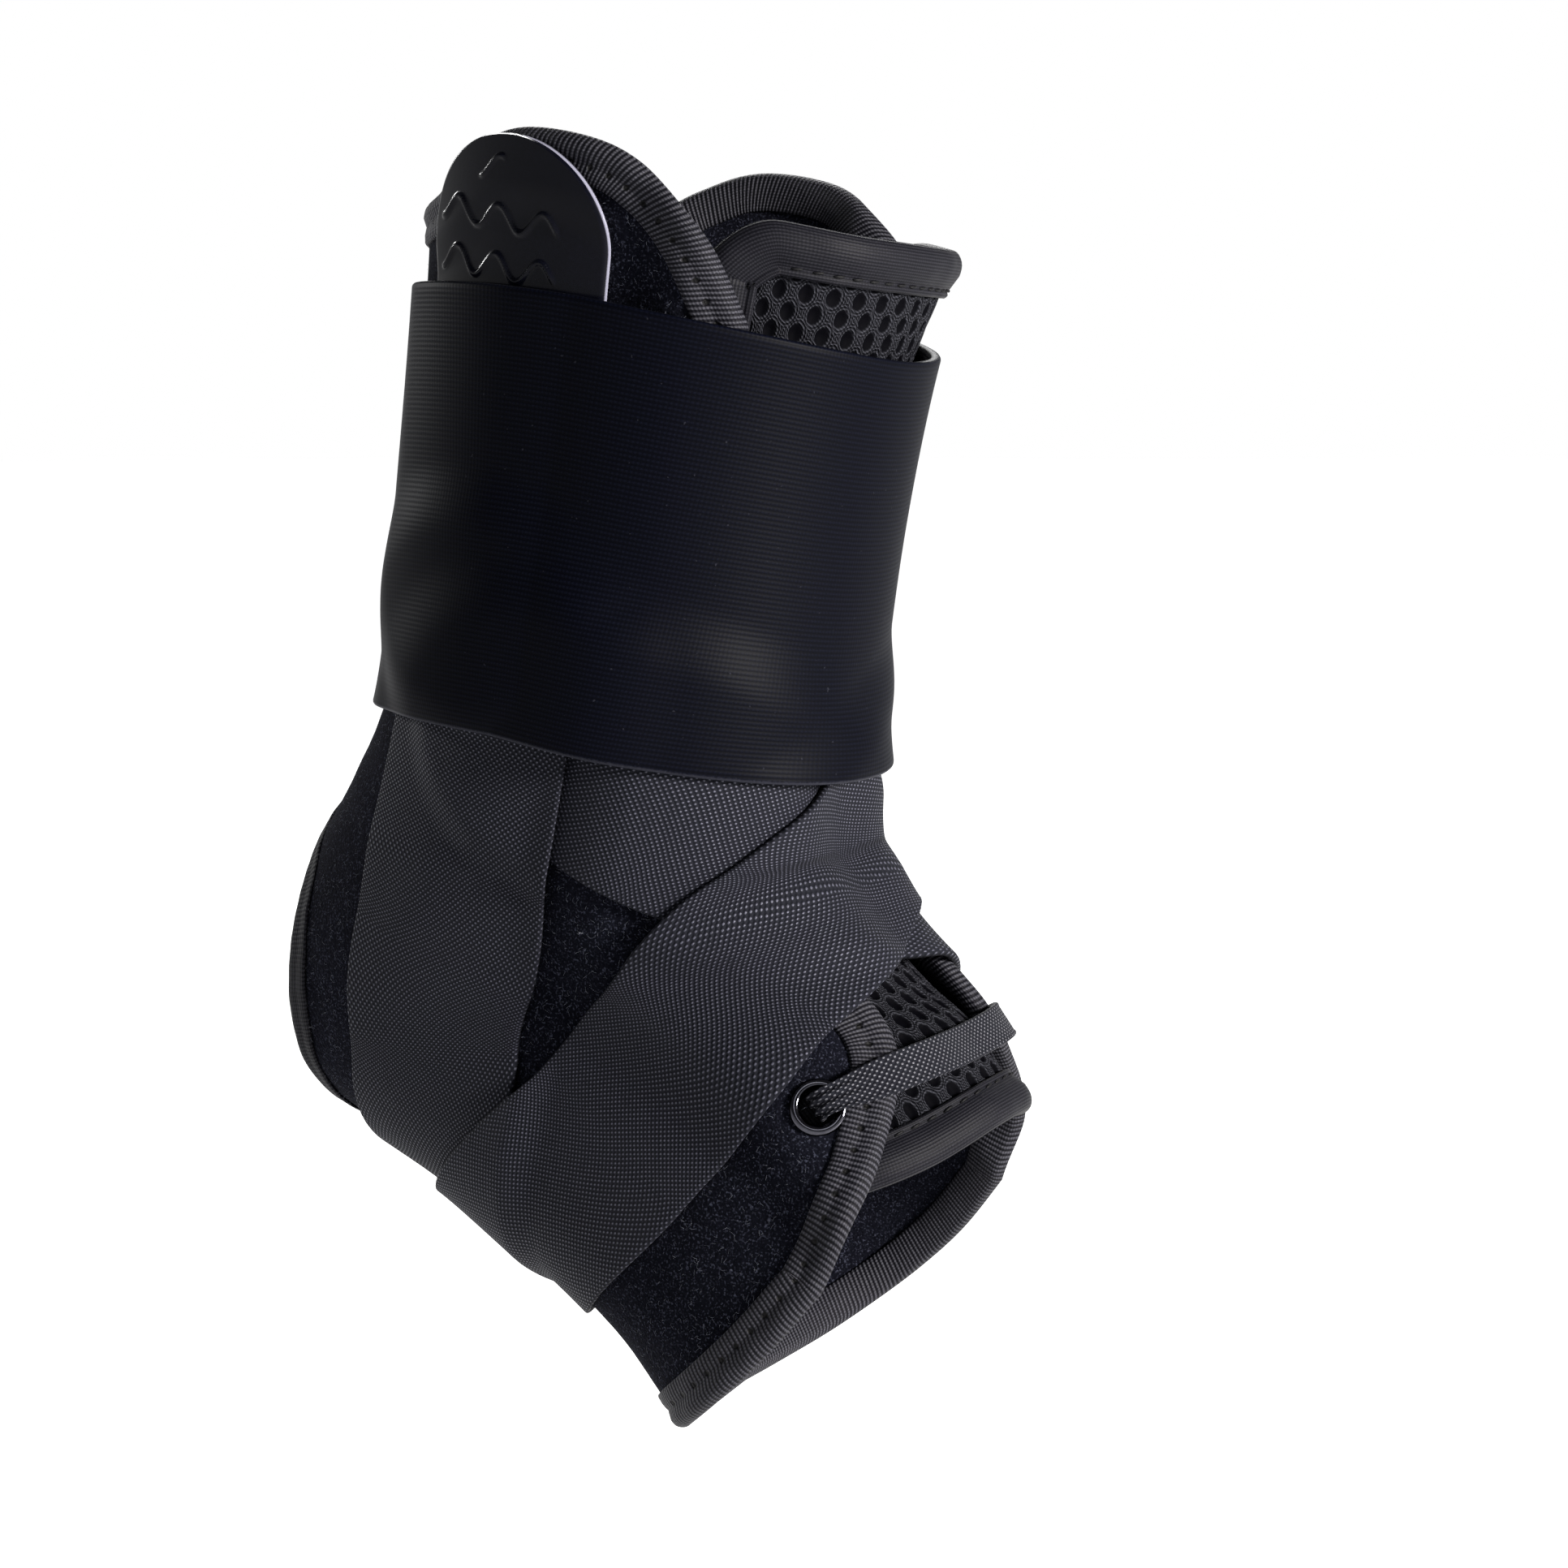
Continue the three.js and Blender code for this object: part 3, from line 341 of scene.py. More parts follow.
class Stack:
    """What lies on what: heights for the straps, the stays and the cuff."""

    def __init__(self) -> None:
        """Measures the lines that the layers climb over."""
        self.hole = np.vstack([points_of(line_through(HEEL_HOLE_EDGE)),
                               points_of(line_through(mirrored(HEEL_HOLE_EDGE)))])
        self.top = np.vstack([points_of(line_through(TOP_EDGE)),
                              points_of(line_through(mirrored(TOP_EDGE)))])
        self.stays = [points_of(line_through(rows), 0, 0.93)
                      for rows in (STAY_ROUTE, mirrored(STAY_ROUTE))]
        self.straps = {}
        for key, rows in (("first", mirrored(STRAP_ROUTE)), ("second", STRAP_ROUTE)):
            line = line_through(rows)
            self.straps[key] = (points_of(line, 0, 1, 200), points_of(line, 0, 0.2),
                                points_of(line, 0.75, 1))
        self.reach = LAYERS.strap_width / 2 + 1.5
        self.step = LAYERS.strap_wall + LAYERS.layer_gap

    def ground(self, places: np.ndarray, run: float = 8.0, lift_from: float = 0.58,
               sink: float = 0.65) -> np.ndarray:
        """The height on which straps lie.

        Args:
            places: Where.
            run: Length over which it steps up to a piece.
            lift_from: Where it starts to rise towards the shell's front edges.
            sink: How far it sinks between those edges.

        Returns:
            The heights.
        """
        front = LAYERS.frontness(places)
        lifted = smooth(front, lift_from, 0.70)
        sunk = sink * smooth(front, 0.88, 1)
        tapes = LAYERS.tape_proud * nearness(self.hole, places, 5 + LAYERS.step_room, run)
        beside = LAYERS.stay_width / 2 + LAYERS.step_room
        stays = np.maximum(*(nearness(p, places, beside, run) for p in self.stays))
        raised = np.maximum(tapes, (LAYERS.stay_wall + LAYERS.layer_gap) * stays)
        raised = np.maximum(raised, (LAYERS.shell_lift + LAYERS.tape_proud) * lifted)
        high = LAYERS.shell_top + LAYERS.layer_gap + raised
        return high + (LAYERS.tongue_top + LAYERS.layer_gap - high) * sunk

    def over_strap(self, key: str, places: np.ndarray, run: float = 8.0) -> np.ndarray:
        """What one strap adds at places, with the stretch where it lies on itself."""
        whole, start, end = (nearness(p, places, self.reach, run) for p in self.straps[key])
        return self.step * (whole + start * end)

    def over_start(self, key: str, places: np.ndarray, share: np.ndarray) -> np.ndarray:
        """What a strap's own start adds under its end."""
        late = smooth(share, 0.75, 0.80)
        return self.step * late * nearness(self.straps[key][1], places, self.reach)

    def strap_low(self, key: str, places: np.ndarray, share: np.ndarray) -> np.ndarray:
        """Height of a strap's underside."""
        low = self.ground(places) + self.over_start(key, places, share)
        return low + (self.over_strap("first", places) if key == "second" else 0)

    def stay_low(self, places: np.ndarray) -> np.ndarray:
        """Height of a stay's underside."""
        return LAYERS.shell_top + LAYERS.layer_gap + LAYERS.tape_proud * nearness(
            self.top, places, 6 + LAYERS.step_room)

    def cuff_low(self, places: np.ndarray, turned: np.ndarray) -> np.ndarray:
        """Height of the cuff's underside, higher where it laps its own start."""
        lap = (LAYERS.cuff_wall + LAYERS.layer_gap) * smooth(turned, 1.82, 1.96)
        straps = self.over_strap("first", places, 14) + self.over_strap("second", places, 14)
        return self.ground(places, 14, 0.42, 0.0) + straps + lap


STACK = Stack()


class Value:
    """A socket of a node tree; sums, differences and products of it make Math nodes."""

    def __init__(self, graph: "Graph", socket: bpy.types.NodeSocket) -> None:
        """Keeps the socket and the graph that it is in."""
        self.graph, self.socket = graph, socket

    def __add__(self, other: "Value | float") -> "Value":
        """The sum."""
        return self.graph.math("ADD", self, other)

    def __sub__(self, other: "Value | float") -> "Value":
        """The difference."""
        return self.graph.math("SUBTRACT", self, other)

    def __rsub__(self, other: float) -> "Value":
        """A number less this."""
        return self.graph.math("SUBTRACT", other, self)

    def __mul__(self, other: "Value | float") -> "Value":
        """The product."""
        return self.graph.math("MULTIPLY", self, other)


class Graph:
    """A material's node tree, built a node at a time."""

    def __init__(self, name: str) -> None:
        """Makes an empty material with one shader."""
        self.material = bpy.data.materials.new(name)
        self.material.use_nodes = True
        self.tree = self.material.node_tree
        self.tree.nodes.clear()
        self.shader = self.tree.nodes.new("ShaderNodeBsdfPrincipled")
        output = self.tree.nodes.new("ShaderNodeOutputMaterial")
        self.tree.links.new(self.shader.outputs["BSDF"], output.inputs["Surface"])
        self.space = self.node("ShaderNodeTexCoord", {}, "Object")

    def node(self, kind: str, inputs: dict, output: int | str = 0, **settings: object) -> Value:
        """Adds a node.

        Args:
            kind: Its type.
            inputs: A value, number or colour for inputs, by their name or number.
            output: The output wanted.
            settings: The node's own settings.

        Returns:
            That output.
        """
        node = self.tree.nodes.new(kind)
        for key, setting in settings.items():
            setattr(node, key, setting)
        for key, value in inputs.items():
            if isinstance(value, Value):
                self.tree.links.new(value.socket, node.inputs[key])
            else:
                node.inputs[key].default_value = value
        return Value(self, node.outputs[output])

    def math(self, operation: str, *values: Value | float) -> Value:
        """A Math node's result."""
        return self.node("ShaderNodeMath", dict(enumerate(values)), operation=operation)

    def cloth(self) -> tuple[Value, Value]:
        """The cloth's own coordinates in millimetres: across and along."""
        uv = self.node("ShaderNodeUVMap", {}, uv_map=CLOTH_MAP)
        split = self.node("ShaderNodeSeparateXYZ", {0: uv}).socket.node
        across, along = (Value(self, split.outputs[k]) * (1 / MM) for k in (0, 1))
        return across, along

    def noise(self, scale: float, detail: float) -> Value:
        """A noise texture's height, in the object's own coordinates."""
        return self.node("ShaderNodeTexNoise", {"Scale": scale, "Detail": detail, "Vector": self.space})

    def wave(self, length: Value, pitch: float) -> Value:
        """A sine of a length, from -1 to 1, that repeats each pitch."""
        return self.math("SINE", length * (2 * math.pi / pitch))

    def repeat(self, length: Value, pitch: float, shift: float = 0.0) -> Value:
        """The way from the middle of the repeat that a length lies in, in pitches."""
        return self.math("FRACT", self.math("DIVIDE", length, pitch) + shift) - 0.5

    def step(self, value: Value, low: float, high: float) -> Value:
        """A smooth step of a value from 0 at low to 1 at high."""
        return self.node("ShaderNodeMapRange", {"From Min": low, "From Max": high, "Value": value},
                         interpolation_type="SMOOTHSTEP")

    def blend(self, share: Value, low: Value | tuple, high: tuple) -> Value:
        """A colour between a colour or a value and another colour."""
        base = low if isinstance(low, Value) else (*low, 1)
        return self.node("ShaderNodeMix", {"A": base, "B": (*high, 1), "Factor": share}, "Result",
                         data_type="RGBA")

    def drive(self, socket: str, value: Value) -> None:
        """Links a value to one of the shader's sockets."""
        self.tree.links.new(value.socket, self.shader.inputs[socket])

    def bump(self, height: Value, millimetres: float, strength: float) -> None:
        """Gives the shader a relief of a depth."""
        self.drive("Normal", self.node("ShaderNodeBump", {
            "Strength": strength, "Distance": millimetres * MM, "Height": height}))

    def finish(self, colour: Value, **values: float | tuple) -> bpy.types.Material:
        """Gives the shader its colour and sets its own sockets.

        Args:
            colour: The colour.
            values: The sockets' values; a name's underscores stand for spaces.

        Returns:
            The material.
        """
        self.drive("Base Color", colour)
        for key, value in values.items():
            self.shader.inputs[key.replace("_", " ")].default_value = value
        return self.material


@dataclass(frozen=True)
class Plush:
    """Short brushed pile with some lint in it."""

    dark: tuple = (0.0004, 0.0005, 0.0012)
    light: tuple = (0.006, 0.0064, 0.011)
    lint: tuple = (0.026, 0.028, 0.042)

    def build(self) -> bpy.types.Material:
        """Makes the material."""
        g = Graph("brace_plush")
        pile = g.noise(1500, 4)
        base = g.blend(pile * g.noise(60, 3), self.dark, self.light)
        specks = g.step(g.noise(2300, 3), 0.52, 0.72) * g.step(g.noise(420, 2), -0.1, 0.75)
        g.bump(pile, 0.35, 0.9)
        return g.finish(g.blend(specks, base, self.lint), Roughness=0.95, Sheen_Weight=0.02,
                        Sheen_Roughness=0.45, Sheen_Tint=(0.55, 0.57, 0.7, 1), Specular_IOR_Level=0.02)


@dataclass(frozen=True)
class Webbing:
    """Plain woven webbing: raised knots of yarn in staggered rows, which catch the light, with a painted
    highlight in their paler colour.
    """

    name: str = "strap_webbing"
    across_pitch: float = 1.1
    along_pitch: float = 1.1
    dark: tuple = (0.0004, 0.0006, 0.0024)
    # light is the colour of the knots' painted highlight.
    light: tuple = (0.05, 0.051, 0.07)

    def build(self) -> bpy.types.Material:
        """Makes the material."""
        g = Graph(self.name)
        across, along = g.cloth()
        knot = g.wave(across, self.across_pitch) * g.wave(along, self.along_pitch)
        yarn = g.noise(4200, 2)
        raised = g.step(knot, 0.28, 0.9)
        # The knots' lighter colour is a painted highlight, stronger in random patches.
        lit = raised * (g.step(g.noise(700, 3), -0.2, 0.7) * (yarn + 0.35))
        g.bump(knot * 0.5 + yarn * 0.22, 0.28, 0.9)
        g.drive("Roughness", 0.85 - raised * 0.47)
        return g.finish(g.blend(lit, self.dark, self.light), Specular_IOR_Level=0.17,
                        Specular_Tint=(0.88, 0.9, 1, 1))


@dataclass(frozen=True)
class Elastic:
    """Smooth ribbed elastic with a paler selvage along its lower edge."""

    rib: float = 0.9
    yarn: float = 0.62
    dark: tuple = (0.0003, 0.0004, 0.0014)
    light: tuple = (0.0016, 0.0020, 0.0050)
    selvage: tuple = (0.014, 0.0145, 0.02)
    selvage_from: float = 40.4

    def build(self) -> bpy.types.Material:
        """Makes the material."""
        g = Graph("cuff_elastic")
        across, along = g.cloth()
        rib, yarn, fuzz = g.wave(across, self.rib), g.wave(along, self.yarn), g.noise(2400, 3)
        base = g.blend(g.step(rib, -0.7, 1.0) * (yarn * 0.25 + fuzz), self.dark, self.light)
        base = g.blend(g.step(g.noise(900, 1), 0.765, 0.80) * 0.5, base, self.selvage)
        edge = g.step(fuzz * 0.5 - across, self.selvage_from, self.selvage_from + 0.6)
        g.bump(rib * 0.5 + (yarn + fuzz) * 0.2, 0.05, 0.5)
        return g.finish(g.blend(edge, base, self.selvage), Roughness=0.5, Sheen_Weight=0.004,
                        Sheen_Roughness=0.35, Sheen_Tint=(0.75, 0.78, 1, 1), Specular_IOR_Level=0.025)


@dataclass(frozen=True)
class Binding:
    """Knitted binding with ribs across it or along it, and needle holes where it is sewn."""

    name: str
    needle_at: float = 0.0
    needle_pitch: float = 4.2
    rib: float = 0.95
    along_ribs: bool = False
    dark: tuple = (0.0012, 0.0012, 0.0026)
    light: tuple = (0.052, 0.052, 0.064)
    pierced: tuple = (0.001, 0.001, 0.0012)

    def build(self) -> bpy.types.Material:
        """Makes the material."""
        g = Graph(self.name)
        across, along = g.cloth()
        if self.along_ribs:
            rib, stitch = g.wave(across, self.rib), g.wave(along, 0.6)
        else:
            rib, stitch = g.wave(along + across * 0.22, self.rib), g.wave(across, 0.55)
        lit = g.step(rib, -0.75, 0.95) * (stitch * 0.18 + g.noise(2600, 3) * 0.95)
        base = g.blend(lit, self.dark, self.light)
        height = rib * 0.5 + stitch * 0.16
        if self.needle_at:
            off = g.repeat(along, self.needle_pitch) * self.needle_pitch
            aside = across - self.needle_at
            hole = 1.0 - g.step(g.math("SQRT", off * off + aside * aside), 0.35, 0.75)
            base = g.blend(hole, base, self.pierced)
            height = height - hole * 2.5
        g.bump(height, 0.06 if self.along_ribs else 0.2, 0.8)
        return g.finish(base, Roughness=0.6, Sheen_Weight=0.01, Sheen_Roughness=0.4,
                        Specular_IOR_Level=0.07)


@dataclass(frozen=True)
class SpacerMesh:
    """Spacer mesh: a net of knitted yarn with deep oval holes in staggered rows."""

    across_pitch: float = 4.7
    along_pitch: float = 7.6
    hole_across: float = 1.12
    hole_along: float = 1.7
    stagger: tuple = (0.0, 0.5)
    dark: tuple = (0.0003, 0.0003, 0.0008)
    light: tuple = (0.036, 0.037, 0.046)

    def depth(self, across: np.ndarray, along: np.ndarray) -> np.ndarray:
        """How deep the net dips at places of the cloth, from 0 on the yarn to 1 in a hole."""
        nearest = np.full(np.shape(across), 9.0)
        for shift in self.stagger:
            a = (np.mod(across / self.across_pitch + shift, 1) - 0.5) * self.across_pitch
            b = (np.mod(along / self.along_pitch + shift, 1) - 0.5) * self.along_pitch
            nearest = np.minimum(nearest, (a / self.hole_across) ** 2 + (b / self.hole_along) ** 2)
        return 1 - smooth(nearest, 0.55, 1.45)

    def build(self) -> bpy.types.Material:
        """Makes the material."""
        g = Graph("tongue_mesh")
        across, along = g.cloth()
        rows = []
        for shift in self.stagger:
            a = g.repeat(across, self.across_pitch, shift) * (self.across_pitch / self.hole_across)
            b = g.repeat(along, self.along_pitch, shift) * (self.along_pitch / self.hole_along)
            rows.append(a * a + b * b)
        nearest = g.math("MINIMUM", *rows)
        # In the holes the colour falls to near black: painted shade in their depth, over the dark backing.
        solid = g.step(nearest, 0.75, 1.5)
        rings = g.math("SINE", nearest * 5.5)
        yarn = g.noise(2300, 3)
        twist = g.wave(along + across, 0.8) * 0.25
        lit = (solid * (rings * 0.45 + 0.55)) * (yarn * 0.9 + twist)
        g.bump((rings * 0.3 + (twist + yarn * 0.5)) * solid, 0.35, 0.9)
        return g.finish(g.blend(lit, self.dark, self.light), Roughness=0.75, Specular_IOR_Level=0.02)


@dataclass(frozen=True)
class StayPlastic:
    """Satin moulded plastic with fine grain and a painted highlight, a paler colour, along its bevelled front
    edge.
    """

    highlight_from: float = 18.1
    dark: tuple = (0.0006, 0.0007, 0.0018)
    light: tuple = (0.003, 0.0032, 0.0065)
    painted_edge_highlight: tuple = (0.13, 0.13, 0.17)

    def build(self) -> bpy.types.Material:
        """Makes the material."""
        g = Graph("stay_plastic")
        across, _ = g.cloth()
        grain, smudge = g.noise(1300, 3), g.noise(55, 2)
        base = g.blend(grain * smudge, self.dark, self.light)
        # Painted highlight: the bevelled front edge is coloured paler to stand for its glint.
        edge = g.step(across, self.highlight_from, self.highlight_from + 0.2)
        g.drive("Roughness", smudge * 0.13 + 0.15)
        g.bump(grain, 0.02, 0.4)
        return g.finish(g.blend(edge, base, self.painted_edge_highlight), Specular_IOR_Level=0.07)


@dataclass(frozen=True)
class Eyelets:
    """Black chrome."""

    def build(self) -> bpy.types.Material:
        """Makes the material."""
        g = Graph("eyelet_black_chrome")
        rub = g.noise(900, 3)
        g.drive("Roughness", rub * 0.1 + 0.06)
        return g.finish(g.blend(rub, (0.03, 0.03, 0.038), (0.08, 0.08, 0.095)), Metallic=1.0)


@dataclass(frozen=True)
class Thread:
    """Twisted sewing thread."""

    def build(self) -> bpy.types.Material:
        """Makes the material."""
        g = Graph("sewing_thread")
        ply = g.noise(3500, 2)
        g.bump(ply, 0.06, 0.6)
        return g.finish(g.blend(ply, (0.0005, 0.0005, 0.0008), (0.003, 0.003, 0.004)), Roughness=0.6,
                        Specular_IOR_Level=0.1)


@dataclass(frozen=True)
class Lint:
    """Pale loose fibres."""

    def build(self) -> bpy.types.Material:
        """Makes the material."""
        g = Graph("lint_fibre")
        return g.finish(g.blend(g.noise(400, 2), (0.03, 0.032, 0.045), (0.2, 0.21, 0.26)), Roughness=0.8)


def mesh_piece(name: str, points: np.ndarray, faces: np.ndarray, uv: np.ndarray) -> bpy.types.Object:
    """Makes a piece from four-sided faces.

    Args:
        name: The piece's name.
        points: Its points in millimetres.
        faces: Four point numbers a face.
        uv: The cloth's coordinates in metres at each face's corners.

    Returns:
        The piece, facing outwards.
    """
    a, b, c, d = (points[faces[:, k]] for k in range(4))
    volume = (a * np.cross(b, c)).sum() + (a * np.cross(c, d)).sum()
    if volume < 0:
        faces, uv = faces[:, ::-1], uv[:, ::-1]
    mesh = bpy.data.meshes.new(name)
    mesh.vertices.add(len(points))
    mesh.vertices.foreach_set("co", (points * MM).astype(np.float32).ravel())
    mesh.loops.add(faces.size)
    mesh.loops.foreach_set("vertex_index", np.ascontiguousarray(faces, dtype=np.int32).ravel())
    mesh.polygons.add(len(faces))
    mesh.polygons.foreach_set("loop_start", np.arange(0, faces.size, 4, dtype=np.int32))
    mesh.update(calc_edges=True)
    layer = mesh.uv_layers.new(name=CLOTH_MAP)
    layer.uv.foreach_set("vector", np.ascontiguousarray(uv, dtype=np.float32).ravel())
    mesh.validate()
    mesh.shade_smooth()
    piece = bpy.data.objects.new(name, mesh)
    bpy.context.scene.collection.objects.link(piece)
    return piece


def grid_faces(rows: int, columns: int, closed: bool,
               looped: bool = False) -> tuple[np.ndarray, np.ndarray]:
    """Faces of a grid of points.

    Args:
        rows: Rows of points.
        columns: Points in a row.
        closed: True where each row is a ring.
        looped: True where the last row joins the first.

    Returns:
        The faces, and for each corner its row and column without wrapping.
    """
    i, j = np.meshgrid(np.arange(rows if looped else rows - 1),
                       np.arange(columns if closed else columns - 1), indexing="ij")
    i, j = i.ravel(), j.ravel()
    corners = np.stack([np.stack([i, j], -1), np.stack([i, j + 1], -1),
                        np.stack([i + 1, j + 1], -1), np.stack([i + 1, j], -1)], 1)
    return (corners[..., 0] % rows) * columns + corners[..., 1] % columns, corners


def ring_piece(name: str, rings: np.ndarray, across: np.ndarray, along: np.ndarray,
               looped: bool = False) -> bpy.types.Object:
    """Makes a piece from rings of points.

    Args:
        name: The piece's name.
        rings: The points, one ring a row.
        across: The cloth's millimetres round a ring, with one more at its end.
        along: The cloth's millimetres at each ring, with one more where the last joins the first.
        looped: True where the last ring joins the first.

    Returns:
        The piece.
    """
    rows, columns = rings.shape[:2]
    faces, corners = grid_faces(rows, columns, True, looped)
    uv = np.stack([across[corners[..., 1]], along[corners[..., 0]]], -1) * MM
    return mesh_piece(name, rings.reshape(-1, 3), faces, uv)


def walled(outer: np.ndarray, inner: np.ndarray, cloth: np.ndarray, left: slice) -> tuple:
    """The faces of a padded wall: two skins, and strips that join them at their edges.

    Args:
        outer: Points of the outer skin, in rows.
        inner: Points of the inner skin, in rows.
        cloth: The cloth's two coordinates at each point.
        left: The rows whose first points lie on an edge.

    Returns:
        The wall's points, its faces, and the cloth's coordinates in metres at their corners.
    """
    rows, columns = outer.shape[:2]
    count = rows * columns
    faces, corners = grid_faces(rows, columns, False)
    number = np.arange(count).reshape(rows, columns)
    skins = [faces, faces[:, ::-1] + count]
    for strip in (number[0, ::-1], number[::-1, -1], number[-1], number[left, 0]):
        skins.append(np.stack([strip[:-1], strip[1:], strip[1:] + count, strip[:-1] + count], -1))
    skin = np.vstack(skins)
    uv = cloth[corners[..., 0], corners[..., 1]] * MM
    uv = np.vstack([uv, uv[:, ::-1], np.zeros((len(skin) - 2 * len(faces), 4, 2))])
    return np.vstack([outer.reshape(-1, 3), inner.reshape(-1, 3)]), skin, uv


@contextmanager
def edited(piece: bpy.types.Object) -> Iterator[bmesh.types.BMesh]:
    """Opens a piece's mesh for changes and writes them back."""
    body = bmesh.new()
    body.from_mesh(piece.data)
    yield body
    body.to_mesh(piece.data)
    body.free()


def close_ends(piece: bpy.types.Object) -> None:
    """Caps the open ends of a piece."""
    with edited(piece) as body:
        rims = [edge for edge in body.edges if edge.is_boundary]
        filled = bmesh.ops.holes_fill(body, edges=rims, sides=0)["faces"]
        bmesh.ops.triangulate(body, faces=filled)
        bmesh.ops.recalc_face_normals(body, faces=body.faces)


def dressed(piece: bpy.types.Object, material: bpy.types.Material, slot: str,
            *nodes: str) -> bpy.types.Object:
    """Gives a piece its material and its place in the frame.

    Args:
        piece: The piece.
        material: Its finish.
        slot: Not used.
        nodes: The solids that it stands for.

    Returns:
        The piece.
    """
    piece.data.materials.append(material)
    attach(piece, BODY)
    if nodes:
        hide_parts(*nodes)
    LOG.info("%s: %d faces", piece.name, len(piece.data.polygons))
    return piece


@dataclass
class Band:
    """A flat woven band with rounded edges, laid along a line of the form."""

    name: str
    line: Callable
    width: float
    wall: float
    low: Callable
    pitch: float = 0.8
    columns: int = 30
    under_columns: int = 8
    serration: float = 0.0
    serration_pitch: float = 1.5
    length: float = field(default=0.0, init=False)

    def stations(self) -> tuple[np.ndarray, np.ndarray]:
        """Even places along the line, and their shares."""
        shares = np.linspace(0, 1, 600)
        length = lengths_along(FORM.point(self.line(shares)))
        self.length = float(length[-1])
        goals = np.linspace(0, self.length, max(8, round(self.length / self.pitch)) + 1)
        even = np.interp(goals, length, shares)
        return self.line(even), even

    def laid(self, stations: np.ndarray, across: np.ndarray) -> np.ndarray:
        """Places beside the stations, at distances across the band."""
        points = FORM.point(stations)
        way = np.gradient(points, axis=0)
        aside = unit(np.cross(FORM.directions(stations)[2], way))
        return FORM.walk(stations[:, None], aside[:, None], across)

    def section(self) -> tuple[np.ndarray, np.ndarray]:
        """The band's section: distances across it, and heights from -1 under it to 1 on it."""
        half, thick = self.width / 2, self.wall / 2
        turn = np.linspace(0, math.pi / 2, 4)[:-1]
        edge = -half + thick * (1 - np.cos(turn))
        corner = half - thick * 0.3
        across = np.concatenate([
            edge, np.linspace(-1, 1, self.columns) * (half - thick), -edge[::-1],
            [corner], np.linspace(half - thick, -half + thick, self.under_columns), [-corner]])
        bulge = np.concatenate([np.sin(turn), np.ones(self.columns), np.sin(turn[::-1]),
                                [-0.7], -np.ones(self.under_columns), [-0.7]])
        return across, bulge

    def build(self) -> bpy.types.Object:
        """Makes the band as one closed mesh."""
        stations, shares = self.stations()
        across, bulge = self.section()
        half, thick = self.width / 2, self.wall / 2
        length = lengths_along(FORM.point(stations))
        teeth = np.sin(length * 2 * math.pi / self.serration_pitch)[:, None] * self.serration
        at_edge = np.sign(across) * (np.abs(across) > half - 1.2 * thick)
        places = self.laid(stations, across + at_edge * teeth)
        from_end = np.clip(np.minimum(length, length[-1] - length) / thick, 0.002, 1)
        rounding = np.sqrt(1 - (1 - from_end) ** 2)[:, None]
        middle = self.low(places, np.broadcast_to(shares[:, None], places.shape[:-1])) + thick
        # The underside sinks towards the layer below, and the whole band keeps its top
        sink = np.where(bulge < 0, LAYERS.settle, 0)
        rings = FORM.over(places, middle + (bulge * thick - sink) * rounding)
        piece = ring_piece(self.name, rings, np.concatenate([across, across[:1]]), length)
        close_ends(piece)
        return piece


